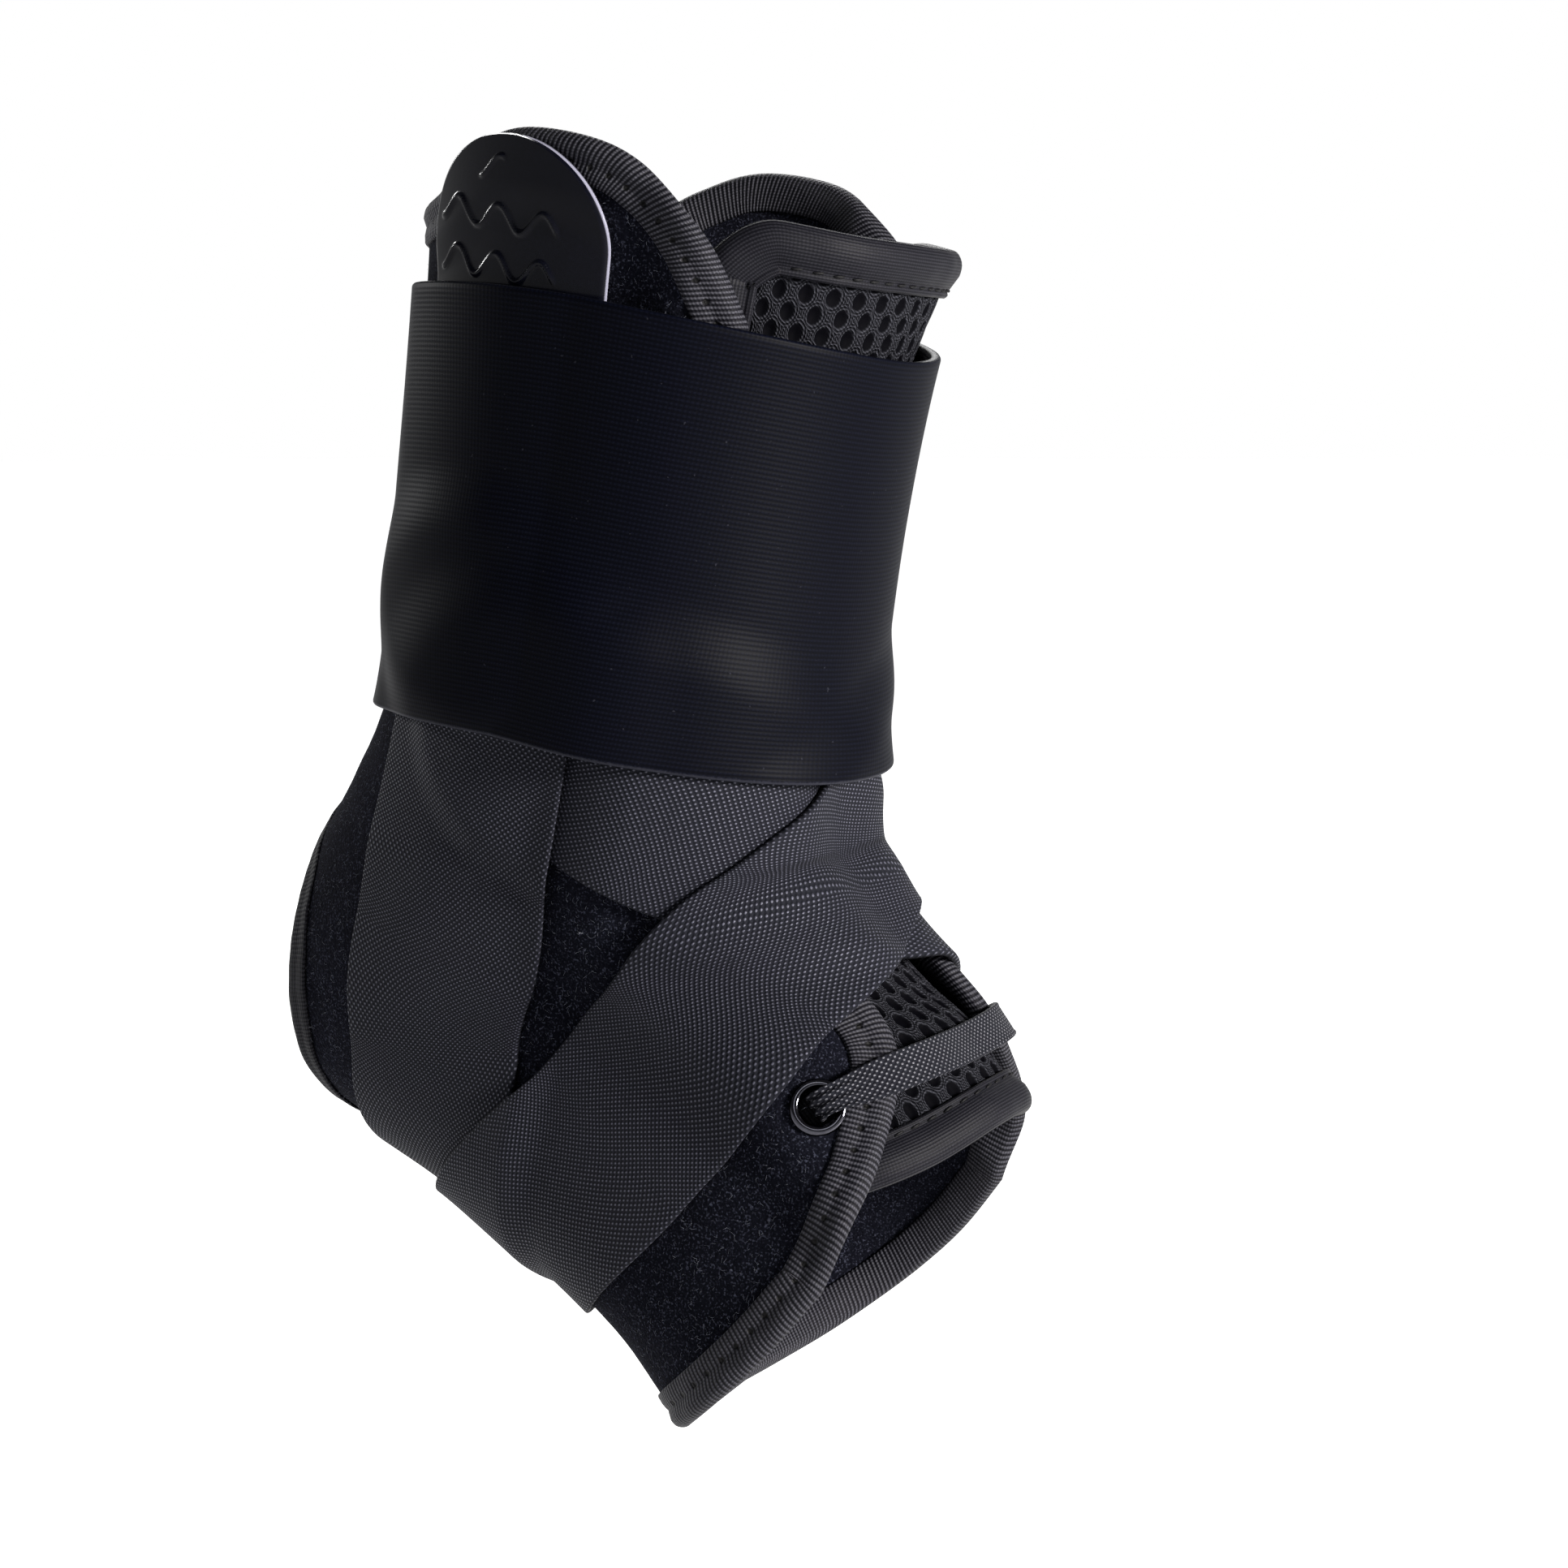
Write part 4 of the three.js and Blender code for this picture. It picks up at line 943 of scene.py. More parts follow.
@dataclass
class Shell:
    """The plush shell: two halves with the heel's hole between them."""

    rows: tuple = (34, 60, 34)
    columns: int = 58
    cell: float = 2.2
    punched: float = 4.2

    def edges(self) -> dict[str, np.ndarray]:
        """Even places along each edge of one half."""
        above, beside, below = self.rows
        back = np.vstack([self.seam(TOP_EDGE[0][0], HEEL_HOLE_EDGE[0][0], above),
                          self.spread(HEEL_HOLE_EDGE, beside)[1:],
                          self.seam(HEEL_HOLE_EDGE[-1][0], TOE_EDGE[0][0], below)[1:]])
        return {"back": back, "front": self.spread(FRONT_EDGE, sum(self.rows)),
                "top": self.spread(TOP_EDGE, self.columns), "toe": self.spread(TOE_EDGE, self.columns)}

    def seam(self, low: float, high: float, count: int) -> np.ndarray:
        """Places down the middle of the back or the sole."""
        return np.stack([np.linspace(low, high, count + 1), np.zeros(count + 1)], -1)

    def spread(self, rows: tuple, count: int) -> np.ndarray:
        """Places along a table's line, evenly by length."""
        fine = line_through(rows)(np.linspace(0, 1, 800))
        length = lengths_along(FORM.point(fine))
        goals = np.linspace(0, length[-1], count + 1)
        return np.stack([np.interp(goals, length, fine[:, k]) for k in (0, 1)], -1)

    def half(self) -> np.ndarray:
        """The places of one half, blended from its four edges."""
        e = self.edges()
        u = np.linspace(0, 1, sum(self.rows) + 1)[:, None, None]
        v = np.linspace(0, 1, self.columns + 1)[None, :, None]
        corners = ((1 - u) * ((1 - v) * e["top"][0] + v * e["top"][-1])
                   + u * ((1 - v) * e["toe"][0] + v * e["toe"][-1]))
        return ((1 - u) * e["top"][None] + u * e["toe"][None]
                + (1 - v) * e["back"][:, None] + v * e["front"][:, None] - corners)

    def rim(self) -> np.ndarray:
        """The shell's outer edge as a loop of places."""
        e = self.edges()
        side = np.vstack([e["top"][:-1], e["front"][:-1], e["toe"][:0:-1]])
        other = side[1:][::-1] * [1, -1]
        return np.vstack([side, e["toe"][:1], other])

    def hole(self) -> np.ndarray:
        """The heel's hole as a loop of places."""
        above, beside, _ = self.rows
        side = self.edges()["back"][above:above + beside + 1]
        return np.vstack([side, side[1:-1][::-1] * [1, -1]])

    def build(self, finish: bpy.types.Material, holes: list) -> bpy.types.Object:
        """Makes the shell.

        Args:
            finish: Its material.
            holes: Middle and direction of each hole that an eyelet sits in.

        Returns:
            The piece.
        """
        half = self.half()
        rows, columns = half.shape[:2]
        above, beside, _ = self.rows
        cloth = np.stack(np.meshgrid(np.arange(columns), np.arange(rows)), -1) * self.cell
        points, faces, uv = [], [], []
        for sign in (1, -1):
            places = half * [1, sign]
            form = FORM.point(places)
            swell = 0.22 * waviness(form, 34) + 0.10 * waviness(form, 11, 8)
            outer = FORM.over(places, LAYERS.shell_high(places) + swell)
            inner = FORM.over(places, LAYERS.shell_low(places))
            start = sum(len(p) for p in points)
            skin = walled(outer, inner, cloth, slice(above, above + beside + 1))
            points.append(skin[0])
            faces.append((skin[1] + start)[:, ::sign])
            uv.append(skin[2][:, ::sign])
        piece = mesh_piece("plush_shell", np.vstack(points), np.vstack(faces), np.vstack(uv))
        with edited(piece) as body:
            bmesh.ops.remove_doubles(body, verts=body.verts, dist=2e-6)
            bmesh.ops.recalc_face_normals(body, faces=body.faces)
        for middle, out in holes:
            self.punch(piece, middle, out)
        dressed(piece, finish, "shell", "body_shell")
        return piece

    def punch(self, piece: bpy.types.Object, middle: np.ndarray, out: np.ndarray) -> None:
        """Cuts a round hole for an eyelet through the shell."""
        cutter = bpy.data.objects.new("cutter", bpy.data.meshes.new("cutter"))
        with edited(cutter) as body:
            radius = self.punched * MM
            bmesh.ops.create_cone(body, cap_ends=True, segments=40, radius1=radius, radius2=radius,
                                  depth=12 * MM)
            turn = Vector((0, 0, 1)).rotation_difference(Vector(out)).to_matrix().to_4x4()
            bmesh.ops.transform(body, matrix=turn, verts=body.verts)
            bmesh.ops.translate(body, vec=Vector(middle) * MM, verts=body.verts)
        bpy.context.scene.collection.objects.link(cutter)
        cut = piece.modifiers.new("punch", "BOOLEAN")
        cut.operation, cut.object, cut.solver = "DIFFERENCE", cutter, "EXACT"
        bpy.context.view_layer.objects.active = piece
        with bpy.context.temp_override(object=piece, active_object=piece, selected_objects=[piece]):
            bpy.ops.object.modifier_apply(modifier=cut.name)
        bpy.data.objects.remove(cutter)


@dataclass
class Tape:
    """A binding folded round an edge."""

    name: str
    rim: np.ndarray
    inwards: int
    width: float
    low: Callable
    high: Callable
    proud: float = 0.85
    roll: float = 3.6
    seam: float = 0.5
    pitch: float = 1.0

    def profile(self) -> np.ndarray:
        """The section: distance in from the edge, share of the wall, and height beyond it.

        A flat sewn part, a dip at the seam, and a soft roll round the edge.
        """
        w, p, r = self.width, self.proud, self.roll
        flat = [(w, 1, 0.14), (w - 0.15, 1, p * 0.5), (w - 0.5, 1, p * 0.66)]
        seam = [(r + (w - r) * 0.5, 1, p * 0.72), (r + 0.7, 1, p * 0.62), (r + 0.2, 1, p * self.seam),
                (r - 0.3, 1, p * 0.66)]
        turn = np.linspace(0.12, 1, 9)[:, None] * math.pi / 2
        rolled = np.hstack([r * 0.62 * (1 - np.sin(turn)) - 0.95 * np.sin(turn) ** 3,
                            1 - 0.5 * np.maximum(np.sin(turn) * 2 - 1, 0) ** 3, p * np.cos(turn) ** 0.7])
        under = [(-0.75, 0.2, 0), (-0.4, 0.05, -p * 0.3), (0.1, 0, -p * 0.7), (0.9, 0, -p * 0.85),
                 (w * 0.5, 0, -p * 0.85), (w - 0.5, 0, -p * 0.7), (w - 0.15, 0, -p * 0.5), (w, 0, -0.14)]
        inside = [(w * 0.5, 0, -0.12), (0.0, 0, -0.12), (-0.2, 0.5, 0), (0.0, 1, 0.12), (w * 0.5, 1, 0.12)]
        return np.vstack([flat, seam, rolled, under, inside])

    def places_in(self, distance: np.ndarray) -> np.ndarray:
        """Places at distances in from the edge, at each station of the rim."""
        rim = FORM.resampled(self.rim, self.pitch, True)
        way = FORM.point(np.roll(rim, -1, 0)) - FORM.point(np.roll(rim, 1, 0))
        into = unit(np.cross(FORM.directions(rim)[2], way)) * self.inwards
        return FORM.walk(rim[:, None], into[:, None], distance)

    def build(self, finish: bpy.types.Material, node: str) -> bpy.types.Object:
        """Makes the binding and dresses it."""
        inset, share, beyond = self.profile().T
        places = self.places_in(inset[None])
        low, high = self.low(places), self.high(places)
        puckered = beyond * np.sign(share - 0.5) > 0.3
        pucker = 0.09 * waviness(FORM.point(places), 5.5, 5) * puckered
        rings = FORM.over(places, low + (high - low) * share + beyond + pucker * np.sign(beyond))
        middle = FORM.point(self.places_in(np.array([[0.0]]))[:, 0])
        along = lengths_along(np.vstack([middle, middle[:1]]))
        across = lengths_along(np.vstack([rings[0], rings[0][:1]]))
        piece = ring_piece(self.name, rings, across, along, looped=True)
        return dressed(piece, finish, "tape", node)


@dataclass
class StitchRow:
    """A row of single stitches along places of the form."""

    name: str
    places: np.ndarray
    height: Callable
    pitch: float = 4.2
    length: float = 2.7
    radius: float = 0.26

    def build(self, finish: bpy.types.Material) -> bpy.types.Object:
        """Makes the row as one mesh of small spindles."""
        even = FORM.resampled(self.places, self.pitch, False)
        points = FORM.over(even, self.height(even))
        way = unit(np.gradient(points, axis=0))
        aside = unit(np.cross(FORM.directions(even)[2], way))
        out = np.cross(way, aside)
        slant = unit(way + aside * 0.10)
        sides = 6
        turn = (np.arange(sides) * 2 * math.pi / sides)[:, None]
        # Each ring of a spindle: how far along it, its size, and its height
        reach, size, rise = np.array([
            (-1, 0.15, -0.30), (-0.82, 0.75, -0.05), (-0.3, 1, 0.05), (0.3, 1, 0.05),
            (0.82, 0.75, -0.05), (1, 0.15, -0.30)]).T[..., None, None]
        spokes = aside[:, None, None] * np.cos(turn) + out[:, None, None] * np.sin(turn)
        rings = (points[:, None, None] + slant[:, None, None] * (reach * self.length / 2)
                 + spokes * (size * self.radius) + out[:, None, None] * rise)
        faces, _ = grid_faces(len(reach), sides, True)
        count = len(reach) * sides
        cap = np.array([[0, 1, 2, 3], [0, 3, 4, 5]])
        body = np.vstack([faces, cap[:, ::-1], cap + count - sides])
        shifted = (body[None] + (np.arange(len(points)) * count)[:, None, None]).reshape(-1, 4)
        piece = mesh_piece(self.name, rings.reshape(-1, 3), shifted, np.zeros((len(shifted), 4, 2)))
        return dressed(piece, finish, "tape")


@dataclass
class Tongue:
    """The spacer-mesh tongue under the shell's front edges."""

    spread: float = 0.3
    rows: int = 300
    columns: int = 120
    net: SpacerMesh = SpacerMesh()
    hole_depth: float = 0.75

    def grid(self, rows: int, columns: int) -> np.ndarray:
        """Places of the tongue, in rows down the leg."""
        across = np.linspace(-1, 1, columns + 1)
        top = 0.57 + 0.25 * (np.maximum(0, np.abs(across) - 0.75) / 0.25) ** 2
        end = 9.44 - 0.2 * np.abs(across) ** 3
        share = np.linspace(0, 1, rows + 1)[:, None]
        at = top + (end - top) * share
        return np.stack([at, np.broadcast_to(1 + across * self.spread, at.shape)], -1)

    def rim(self) -> np.ndarray:
        """The tongue's edge as a loop, from the middle of its top."""
        grid = self.grid(160, 60)
        return np.vstack([grid[0, 30:], grid[1:, -1], grid[-1, :-1][::-1], grid[1:-1, 0][::-1], grid[0, :30]])

    def build(self, finish: bpy.types.Material) -> bpy.types.Object:
        """Makes the tongue with the relief of its net."""
        places = self.grid(self.rows, self.columns)
        points = FORM.point(places)
        down = lengths_along(points[:, self.columns // 2])
        width = lengths_along(points[len(points) // 2])
        cloth = np.stack(np.meshgrid(width - width[-1] / 2, down), -1)
        dip = self.net.depth(cloth[..., 0], cloth[..., 1]) * self.hole_depth
        swell = 0.18 * waviness(points, 26, 4)
        outer = FORM.over(places, LAYERS.tongue_high(places) + swell - dip)
        inner = FORM.over(places, LAYERS.tongue_low(places))
        piece = mesh_piece("mesh_tongue", *walled(outer, inner, cloth, slice(None)))
        dressed(piece, finish, "tongue", "tongue_pad")
        return piece

    def stitches(self, finish: bpy.types.Material) -> None:
        """Makes the stitch lines along the binding's top and end."""
        for name, row, inset in (("tongue_top_stitches", 0, 0.2), ("tongue_end_stitches", -1, -0.345)):
            places = self.grid(160, 60)[row, 10:-10] + [inset, 0]
            StitchRow(name, places, lambda p: LAYERS.tongue_high(p) + 1.2, pitch=3.3,
                      length=2.3).build(finish)


@dataclass
class Stay:
    """A moulded side stay: a round-topped strip with a bevelled edge and rows of raised waves."""

    side: Side
    wall: float = 1.8
    width: float = 37.0
    wave_height: float = 0.6
    wave_line: float = 0.3
    wave_pitch: float = 8.9
    wave_reach: float = 2.15
    row_pitch: float = 8.75
    fine: float = 0.36
    waves: int = 9
    first_wave: float = 6.2
    short_wave: tuple = (-7.2, -1.3)
    full_wave: tuple = (-16.2, 9.8)
    shown: float = 44.0  # the cuff covers the stay beyond this length

    def relief(self, across: np.ndarray, along: np.ndarray) -> np.ndarray:
        """Height of the raised waves at places of the stay."""
        height = np.zeros(np.shape(across))
        phase = 2 * math.pi * (across + 2.4) / self.wave_pitch
        slope = self.wave_reach * 2 * math.pi / self.wave_pitch * np.sin(phase)
        for row in range(self.waves):
            start, end = self.short_wave if row == 0 else self.full_wave
            line = self.first_wave + self.row_pitch * row - self.wave_reach * np.cos(phase)
            off = np.abs(along - line) / np.sqrt(1 + slope ** 2)
            ends = smooth(across, start, start + 1.2) * (1 - smooth(across, end - 1.2, end))
            rise = ends * (1 - smooth(off, 0.1, self.wave_line + 0.25))
            height = np.maximum(height, self.wave_height * rise)
        return height

    def build(self, finish: bpy.types.Material) -> bpy.types.Object:
        """Makes the stay as one closed mesh and dresses it."""
        line = line_through(STAY_ROUTE if self.side is Side.INNER else mirrored(STAY_ROUTE))
        shares = np.linspace(0, 1, 500)
        length = lengths_along(FORM.point(line(shares)))
        half = self.width / 2
        tip = half * (1 - np.cos(np.linspace(0, math.pi / 2, 70)[:-1]))
        fine_to = min(self.shown, length[-1])
        goals = np.concatenate([tip, np.arange(half, fine_to, self.fine),
                                np.linspace(fine_to, length[-1], 40)])
        goals = np.unique(np.round(goals, 4))
        stations = line(np.interp(goals, length, shares))
        short = np.maximum(half - goals, 0)
        reach = np.maximum(np.sqrt(half ** 2 - short ** 2), 0.4)[:, None]
        top = np.concatenate([[-1, -0.992, -0.975], np.linspace(-0.95, 0.95, 108), [0.975, 0.992, 1]])
        share = np.concatenate([top, np.linspace(0.975, -0.975, 9)])
        spread = share[None, :] * reach
        side = -1 if self.side is Side.INNER else 1
        ways = np.gradient(FORM.point(stations), axis=0)
        aside = unit(np.cross(FORM.directions(stations)[2], ways)) * side
        places = FORM.walk(stations[:, None], aside[:, None], spread)
        low = STACK.stay_low(places) - LAYERS.settle
        from_edge = np.minimum(reach - np.abs(spread), (length[-1] - goals)[:, None])
        bevel = 0.75 * (1 - smooth(from_edge, 0.0, 0.75))
        relief = self.relief(spread, np.broadcast_to(goals[:, None], spread.shape))
        high = low + LAYERS.settle + self.wall - bevel + relief * smooth(from_edge, 1.4, 2.2)
        is_under = np.arange(len(share)) >= len(top)
        rings = FORM.over(places, np.where(is_under, low, high))
        # The cloth's coordinate across the stay grows towards the front on both sides
        to_front = math.copysign(1.0, float(aside[len(aside) // 2][0]))
        measure = np.concatenate([share, share[:1]]) * half * to_front
        name = self.side.name.lower()
        piece = ring_piece(f"stay_{name}", rings, measure, goals)
        close_ends(piece)
        return dressed(piece, finish, "stay", f"side_stay_{name}")


@dataclass
class Eyelet:
    """A rolled metal eyelet in the shell's front edge."""

    side: Side
    at: float = 8.48
    turn: float = 0.727
    hole: float = 3.4
    rim: float = 5.3
    facets: int = 72

    def seat(self) -> tuple[np.ndarray, np.ndarray]:
        """The middle of the eyelet in the shell's wall, and its direction outwards."""
        place = np.array([self.at, self.side.value * self.turn])
        middle = (LAYERS.shell_low(place) + LAYERS.shell_high(place)) / 2
        return FORM.over(place, middle), FORM.directions(place)[2]

    def section(self) -> np.ndarray:
        """The eyelet's section: distance from its middle, and height over its seat."""
        hole, rim = self.hole, self.rim
        roll = np.linspace(0, math.pi, 13)
        top = np.stack([(hole + rim) / 2 + (rim - hole) / 2 * np.cos(roll), 1.15 + 0.75 * np.sin(roll)], -1)
        under = [(hole, 0.2), (hole, -1.0), (rim, -1.15), (rim - 0.3, -0.75), (hole + 0.45, -0.65),
                 (hole + 0.45, 0.95)]
        return np.vstack([top, under])

    def build(self, finish: bpy.types.Material) -> bpy.types.Object:
        """Makes the eyelet by turning its section, and dresses it."""
        middle, out = self.seat()
        section = self.section()
        x = unit(np.cross(out, [0.0, 0.3, 1.0]))
        y = np.cross(out, x)
        angles = np.arange(self.facets) * 2 * math.pi / self.facets
        spokes = np.cos(angles)[:, None] * x + np.sin(angles)[:, None] * y
        rings = middle + spokes[:, None] * section[None, :, :1] + out * section[None, :, 1:]
        side = self.side.name.lower()
        piece = ring_piece(f"eyelet_ring_{side}", rings, np.arange(len(section) + 1.0),
                           np.arange(self.facets + 1.0), looped=True)
        return dressed(piece, finish, "eyelet", f"eyelet_{side}")


@dataclass
class Lace:
    """The flat elastic lace between the eyelets."""

    width: float = 7.4
    gathered: float = 5.2
    wall: float = 1.6
    eyelet: Eyelet = field(default_factory=lambda: Eyelet(Side.OUTER))
    # The way out of an eyelet: along the form, and up over its seat
    bend: tuple = ((0.0, -1.6), (0.0, 0.2), (1.1, 1.5), (3.2, 1.7), (6.2, 1.45))
    middle_drop: float = 3.4

    def centre(self) -> np.ndarray:
        """The lace's middle line in rough steps, each the way round and the height."""
        place = np.array([self.eyelet.at, -self.eyelet.turn])
        seat = float(LAYERS.shell_low(place) + LAYERS.shell_high(place)) / 2 + 1.0 + LAYERS.tape_proud
        per_turn = float(np.linalg.norm(FORM.directions(place)[1]))
        rows = [(-self.eyelet.turn - side / per_turn, seat + up) for side, up in self.bend]
        turn, height = rows[-1]
        for share in np.linspace(0, 1, 8)[1:]:
            drop = self.middle_drop * float(smooth(share, 0.15, 1))
            rows.append((turn + (-1 - turn) * share, height - drop))
        return np.array(rows + [(-2 - turn, height) for turn, height in rows[-2::-1]])

    def build(self, finish: bpy.types.Material) -> bpy.types.Object:
        """Makes the lace, gathered at its ends, and dresses it."""
        rough = self.centre()
        fine = between(rough, np.linspace(0, len(rough) - 1, 220))
        places = np.stack([np.full(len(fine), self.eyelet.at), fine[:, 0]], -1)
        middle = FORM.over(places, fine[:, 1])
        length = lengths_along(middle)
        from_end = np.minimum(length, length[-1] - length)
        width = self.gathered + (self.width - self.gathered) * smooth(from_end, 3.5, 17)
        way = unit(np.gradient(middle, axis=0))
        along = FORM.directions(places)[0]
        wide = unit(along - way * (along * way).sum(-1, keepdims=True))
        thick = np.cross(way, wide)
        top = np.concatenate([[-1, -0.97, -0.9], np.linspace(-0.8, 0.8, 25), [0.9, 0.97, 1]])
        bulge = np.sqrt(np.clip(1 - (np.maximum(np.abs(top) - 0.86, 0) / 0.14) ** 2, 0, 1))
        share = np.concatenate([top, top[-2:0:-1]])
        bulge = np.concatenate([bulge, -bulge[-2:0:-1]])
        gather = 1 - smooth(from_end, 2.0, 15)[:, None]
        folds = 0.42 * gather * np.cos(share * 3 * math.pi)
        cords = 0.16 * smooth(np.abs(share), 0.72, 0.86) * np.sign(bulge) * (1 - gather)
        lift = bulge * self.wall / 2 + folds + cords
        aside = share * width[:, None] / 2
        rings = middle[:, None] + wide[:, None] * aside[..., None] + thick[:, None] * lift[..., None]
        measure = np.concatenate([share, share[:1]]) * self.width / 2
        piece = ring_piece("elastic_lace", rings, measure, length)
        close_ends(piece)
        return dressed(piece, finish, "webbing", "front_lace")


@dataclass
class Strap:
    """One of the two webbing straps of the figure eight."""

    key: str
    rows: tuple

    def build(self, finish: bpy.types.Material) -> bpy.types.Object:
        """Makes the strap and dresses it."""
        band = Band(f"webbing_strap_{self.key}", line_through(self.rows), LAYERS.strap_width,
                    LAYERS.strap_wall, partial(STACK.strap_low, self.key), pitch=0.75, serration=0.11)
        piece = dressed(band.build(), finish, "webbing", f"strap_{self.key}")
        return piece


@dataclass
class Cuff:
    """The wide elastic cuff, one turn round the leg with lapped ends."""

    at: float = 2.125
    sway: float = 0.06
    start: float = 0.45
    lap: float = 44.0
    width: float = 82.0
    hem: float = 2.5
    sewn: tuple = (2.5, 6.0)

    def turn(self) -> float:
        """How many half turns the cuff makes."""
        share = np.linspace(0, 1, 91)
        girth = FORM.point(np.stack([np.full(91, self.at), 2 * share], -1))
        return 2 + 2 * self.lap / float(lengths_along(girth)[-1])

    def build(self, finish: bpy.types.Material, thread: bpy.types.Material) -> bpy.types.Object:
        """Makes the cuff with the stitches at its lapped end, and dresses it."""
        turn = self.turn()

        def line(share: np.ndarray) -> np.ndarray:
            """Places along the cuff's middle."""
            way = self.start - np.asarray(share, float) * turn
            return np.stack([self.at + self.sway * np.cos(2 * math.pi * way), way], -1)

        def low(places: np.ndarray, share: np.ndarray) -> np.ndarray:
            """Height of the cuff's underside."""
            return STACK.cuff_low(places, share * turn)

        band = Band("elastic_cuff", line, self.width, LAYERS.cuff_wall, low, pitch=1.0, columns=64,
                    under_columns=14)
        piece = dressed(band.build(), finish, "elastic", "cuff_strap")
        reach = self.width / 2 - self.hem
        across = np.linspace(-reach, reach, 40)[None]
        for number, back in enumerate(self.sewn, 1):
            share = 1 - back / band.length
            edge = band.laid(line(share + np.array([-0.002, 0, 0.002])), across)[1]

            def high(places: np.ndarray, share: float = share) -> np.ndarray:
                """Height of a line of sewing."""
                return low(places, np.full(places.shape[:-1], share)) + LAYERS.cuff_wall + 0.12

            StitchRow(f"cuff_end_stitches_{number}", edge, high, pitch=3.2, length=2.4,
                      radius=0.22).build(thread)
        flat = (self.width * MM, band.length * MM)
        return piece


@dataclass
class LintFibres:
    """Loose fibres that stand out of the plush."""

    count: int = 9500
    length: float = 0.85
    thick: float = 0.012
    seed: int = 11

    def build(self, half: np.ndarray, finish: bpy.types.Material) -> bpy.types.Object:
        """Makes the fibres as bent ribbons.

        Args:
            half: Places of one half of the shell.
            finish: Their material.

        Returns:
            The piece.
        """
        rng = np.random.default_rng(self.seed)
        inside = half[4:-4, 1:-7].reshape(-1, 2)
        picked = inside[rng.integers(0, len(inside), self.count)] * np.stack(
            [np.ones(self.count), rng.choice([-1, 1], self.count)], -1)
        picked = picked + rng.normal(size=(self.count, 2)) * [0.02, 0.004]
        out = FORM.directions(picked)[2]
        start = FORM.over(picked, LAYERS.shell_high(picked) + 0.15)
        lie = unit(rng.normal(size=(self.count, 3)))
        lie = unit(lie - out * (lie * out).sum(-1, keepdims=True))
        aside = np.cross(out, lie)
        curl = rng.normal(size=(self.count, 1)) * 0.6
        length = self.length * rng.uniform(0.35, 1.3, (self.count, 1))
        points = []
        for share in (0.0, 0.35, 0.7, 1.0):
            rise = 0.30 * math.sin(share * 2.4)
            middle = start + lie * length * share + aside * curl * share ** 2 + out * rise
            points += [middle - aside * self.thick, middle + aside * self.thick]
        ribbon = np.stack(points, 1)
        faces = np.array([[0, 1, 3, 2], [2, 3, 5, 4], [4, 5, 7, 6]])
        shifted = (faces[None] + (np.arange(self.count) * 8)[:, None, None]).reshape(-1, 4)
        piece = mesh_piece("plush_lint", ribbon.reshape(-1, 3), shifted, np.zeros((len(shifted), 4, 2)))
        return dressed(piece, finish, "shell")


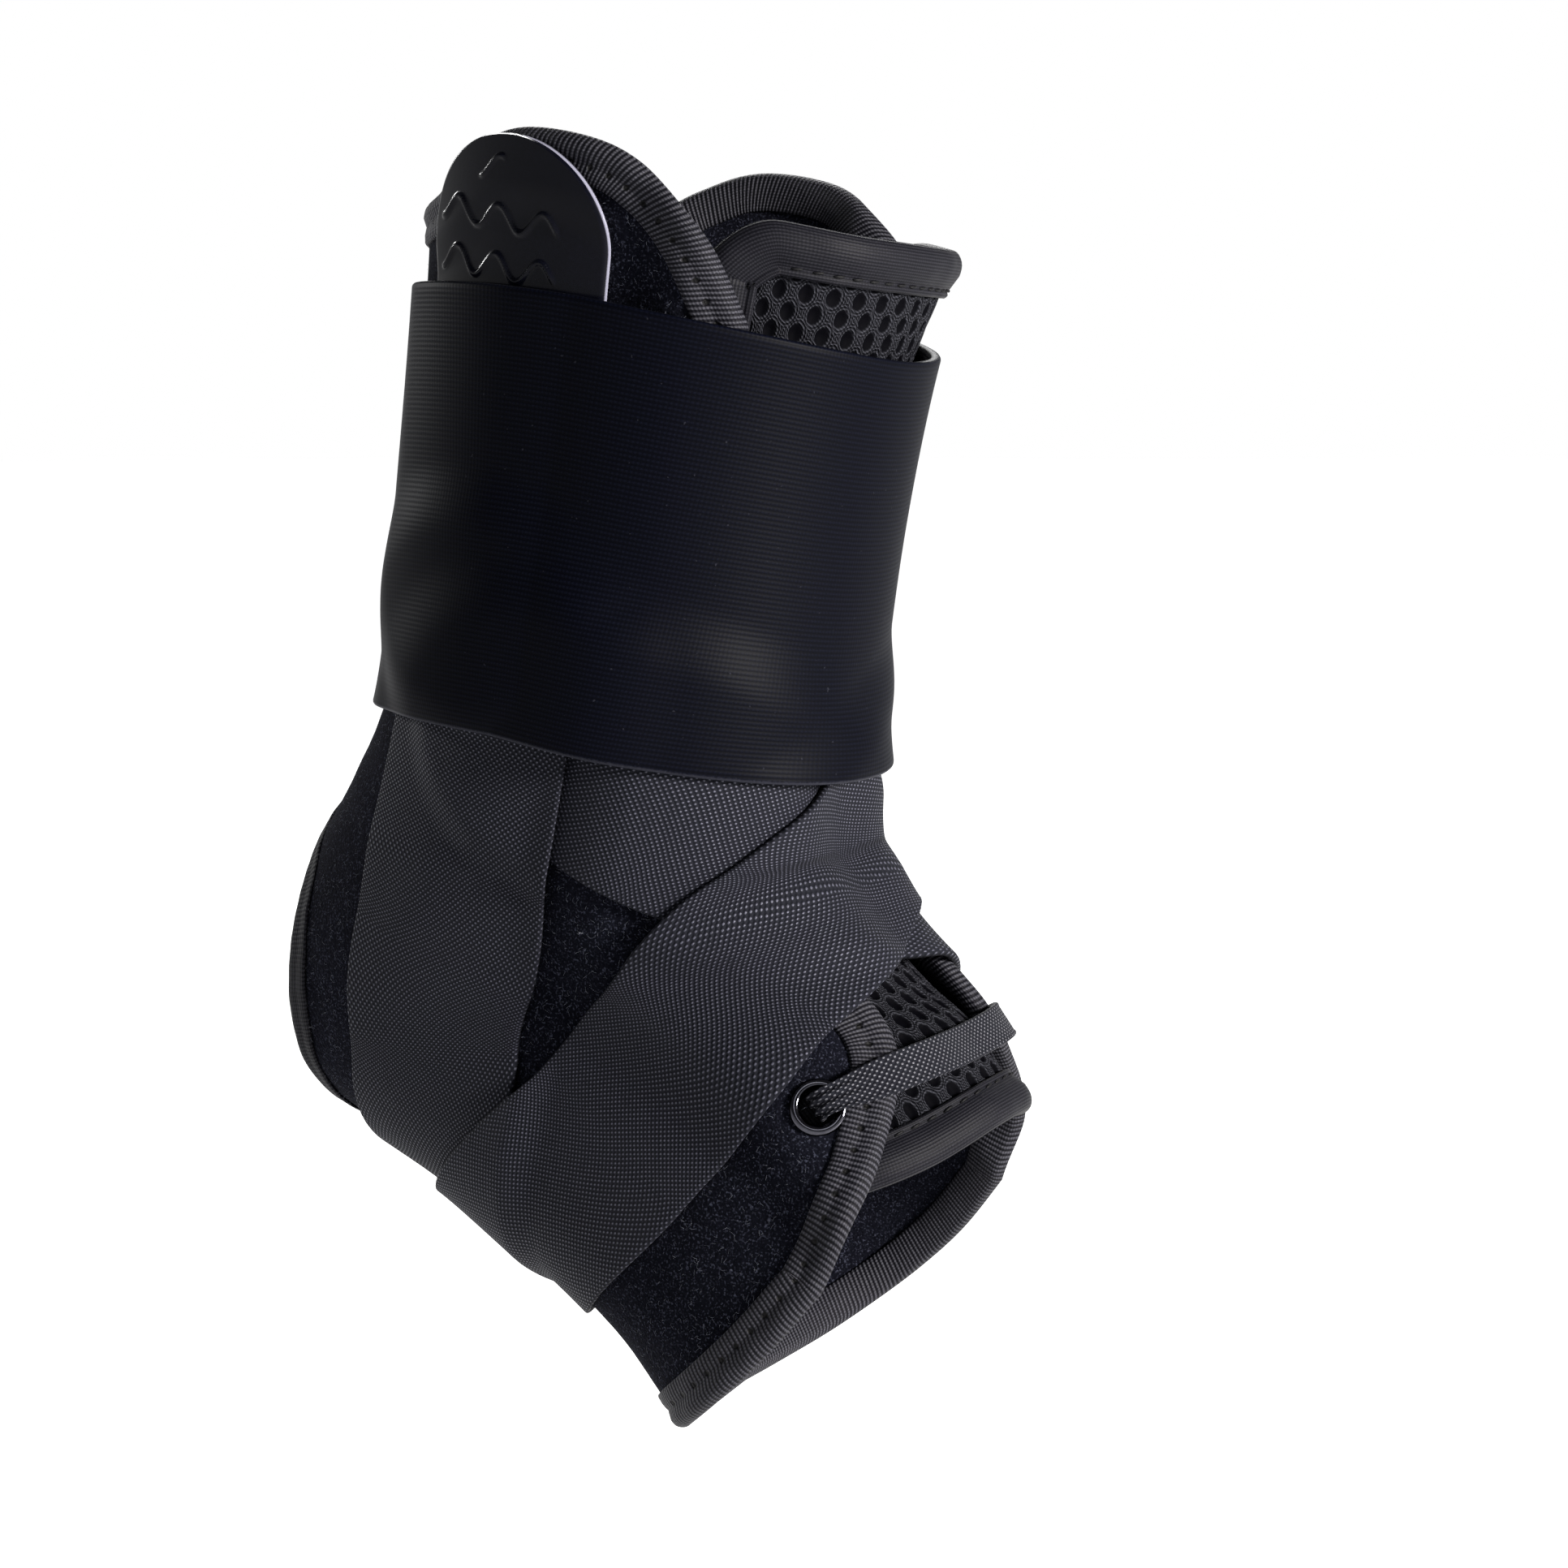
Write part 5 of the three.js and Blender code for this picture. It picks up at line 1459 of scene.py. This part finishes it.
@dataclass
class Studio:
    """Pale floor, soft light and the photograph's camera. Lengths here are metres."""

    floor_z: float = -0.128
    camera_at: tuple = (0.27014, -0.43610, 0.09543)
    camera_to: tuple = (0.02816, 0.01900, 0.02666)
    view_angle: float = 33.888
    ceiling: float = 0.12
    # The room's white fades between these heights of a unit direction
    fade_from: float = 0.17
    fade_to: float = 0.42
    lit: tuple = (0.01, 0, 0.03)

    def floor(self) -> None:
        """Makes the floor as a large plain sheet."""
        rows = [[(x, y, self.floor_z) for x in (-20.0, 20.0)] for y in (-8.0, 0.0, 8.0, 30.0)]
        faces, corners = grid_faces(len(rows), 2, False)
        piece = mesh_piece("floor", np.array(rows).reshape(-1, 3) / MM, faces, corners)
        g = Graph("pale_floor")
        colour = g.blend(g.noise(3, 2), (0.36, 0.36, 0.362), (0.40, 0.40, 0.402))
        piece.data.materials.append(g.finish(colour, Roughness=0.7, Emission_Color=(1, 1, 1, 1),
                                             Emission_Strength=0.93))

    def light(self, name: str, place: tuple, size: float, power: float, colour: tuple) -> None:
        """Adds a soft round light that faces the brace.

        Args:
            name: Its name.
            place: Where it hangs.
            size: Its diameter.
            power: In watts.
            colour: Its colour.
        """
        data = bpy.data.lights.new(name, "AREA")
        data.shape, data.size, data.energy, data.color = "DISK", size, power, colour
        lamp = bpy.data.objects.new(name, data)
        lamp.location = place
        lamp.rotation_euler = (Vector(self.lit) - Vector(place)).to_track_quat("-Z", "Y").to_euler()
        bpy.context.scene.collection.objects.link(lamp)

    def world(self) -> None:
        """Makes a room that is white at eye level and dim overhead, so that the cloth keeps its shade."""
        world = bpy.data.worlds.new("studio")
        world.use_nodes = True
        nodes, links = world.node_tree.nodes, world.node_tree.links
        background = nodes["Background"]
        split = nodes.new("ShaderNodeSeparateXYZ")
        fade = nodes.new("ShaderNodeMapRange")
        fade.interpolation_type = "SMOOTHSTEP"
        limits = {"From Min": self.fade_from, "From Max": self.fade_to, "To Min": 1.0,
                  "To Max": self.ceiling}
        for name, value in limits.items():
            fade.inputs[name].default_value = value
        links.new(nodes.new("ShaderNodeTexCoord").outputs["Generated"], split.inputs[0])
        links.new(split.outputs["Z"], fade.inputs["Value"])
        links.new(fade.outputs["Result"], background.inputs["Strength"])
        background.inputs["Color"].default_value = (1, 1, 1, 1)
        bpy.context.scene.world = world
        bpy.context.scene.view_settings.view_transform = "Standard"

    def camera(self) -> None:
        """Makes the camera at the photograph's place and angle."""
        data = bpy.data.cameras.new("camera")
        data.sensor_width = 36.0
        data.lens = 18.0 / math.tan(math.radians(self.view_angle) / 2)
        data.clip_start = 0.01
        camera = bpy.data.objects.new("camera", data)
        camera.location = self.camera_at
        way = Vector(self.camera_to) - Vector(self.camera_at)
        camera.rotation_euler = way.to_track_quat("-Z", "Y").to_euler()
        bpy.context.scene.collection.objects.link(camera)
        bpy.context.scene.camera = camera

    def build(self) -> None:
        """Sets the whole stage."""
        self.camera()
        self.world()
        self.floor()
        for name, place, size, power, colour in LAMPS:
            self.light(name, place, size, power, colour)


def main() -> None:
    """Builds the brace's pieces in order and reports each."""
    logging.basicConfig(level=logging.INFO, format="%(message)s")
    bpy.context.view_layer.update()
    Studio().build()

    plush, webbing = Plush().build(), Webbing().build()
    body_tape = Binding("body_binding", needle_at=3.6).build()
    plain_tape = Binding("plain_binding", rib=0.8, light=(0.013, 0.013, 0.017)).build()
    tongue_tape = Binding("tongue_binding", rib=0.6, along_ribs=True, light=(0.012, 0.012, 0.016)).build()
    thread, chrome = Thread().build(), Eyelets().build()

    shell = Shell()
    eyelets = [Eyelet(side) for side in Side]
    shell.build(plush, [eyelet.seat() for eyelet in eyelets])
    Tape("body_binding", shell.rim(), 1, 6.9, LAYERS.shell_low, LAYERS.shell_high, proud=1.3, roll=3.3).build(
        body_tape, "body_edge_tape")
    Tape("heel_binding", shell.hole(), -1, 5.6, LAYERS.shell_low, LAYERS.shell_high, roll=2.8).build(
        plain_tape, "heel_edge_tape")
    LintFibres().build(shell.half(), Lint().build())

    tongue = Tongue()
    tongue.build(SpacerMesh().build())
    Tape("tongue_binding", tongue.rim(), 1, 8.6, LAYERS.tongue_low, LAYERS.tongue_high, proud=1.9,
         roll=6.6).build(tongue_tape, "tongue_edge_tape")
    tongue.stitches(thread)

    plastic = StayPlastic().build()
    for side in Side:
        Stay(side).build(plastic)
    Strap("first", mirrored(STRAP_ROUTE)).build(webbing)
    Strap("second", STRAP_ROUTE).build(webbing)
    Cuff().build(Elastic().build(), thread)
    for eyelet in eyelets:
        eyelet.build(chrome)
    # The lace's knots get a brighter painted highlight.
    lace = Webbing("lace_weave", across_pitch=1.15, along_pitch=1.5, light=(0.085, 0.085, 0.098))
    Lace().build(lace.build())


if __name__ == "__main__":
    main()
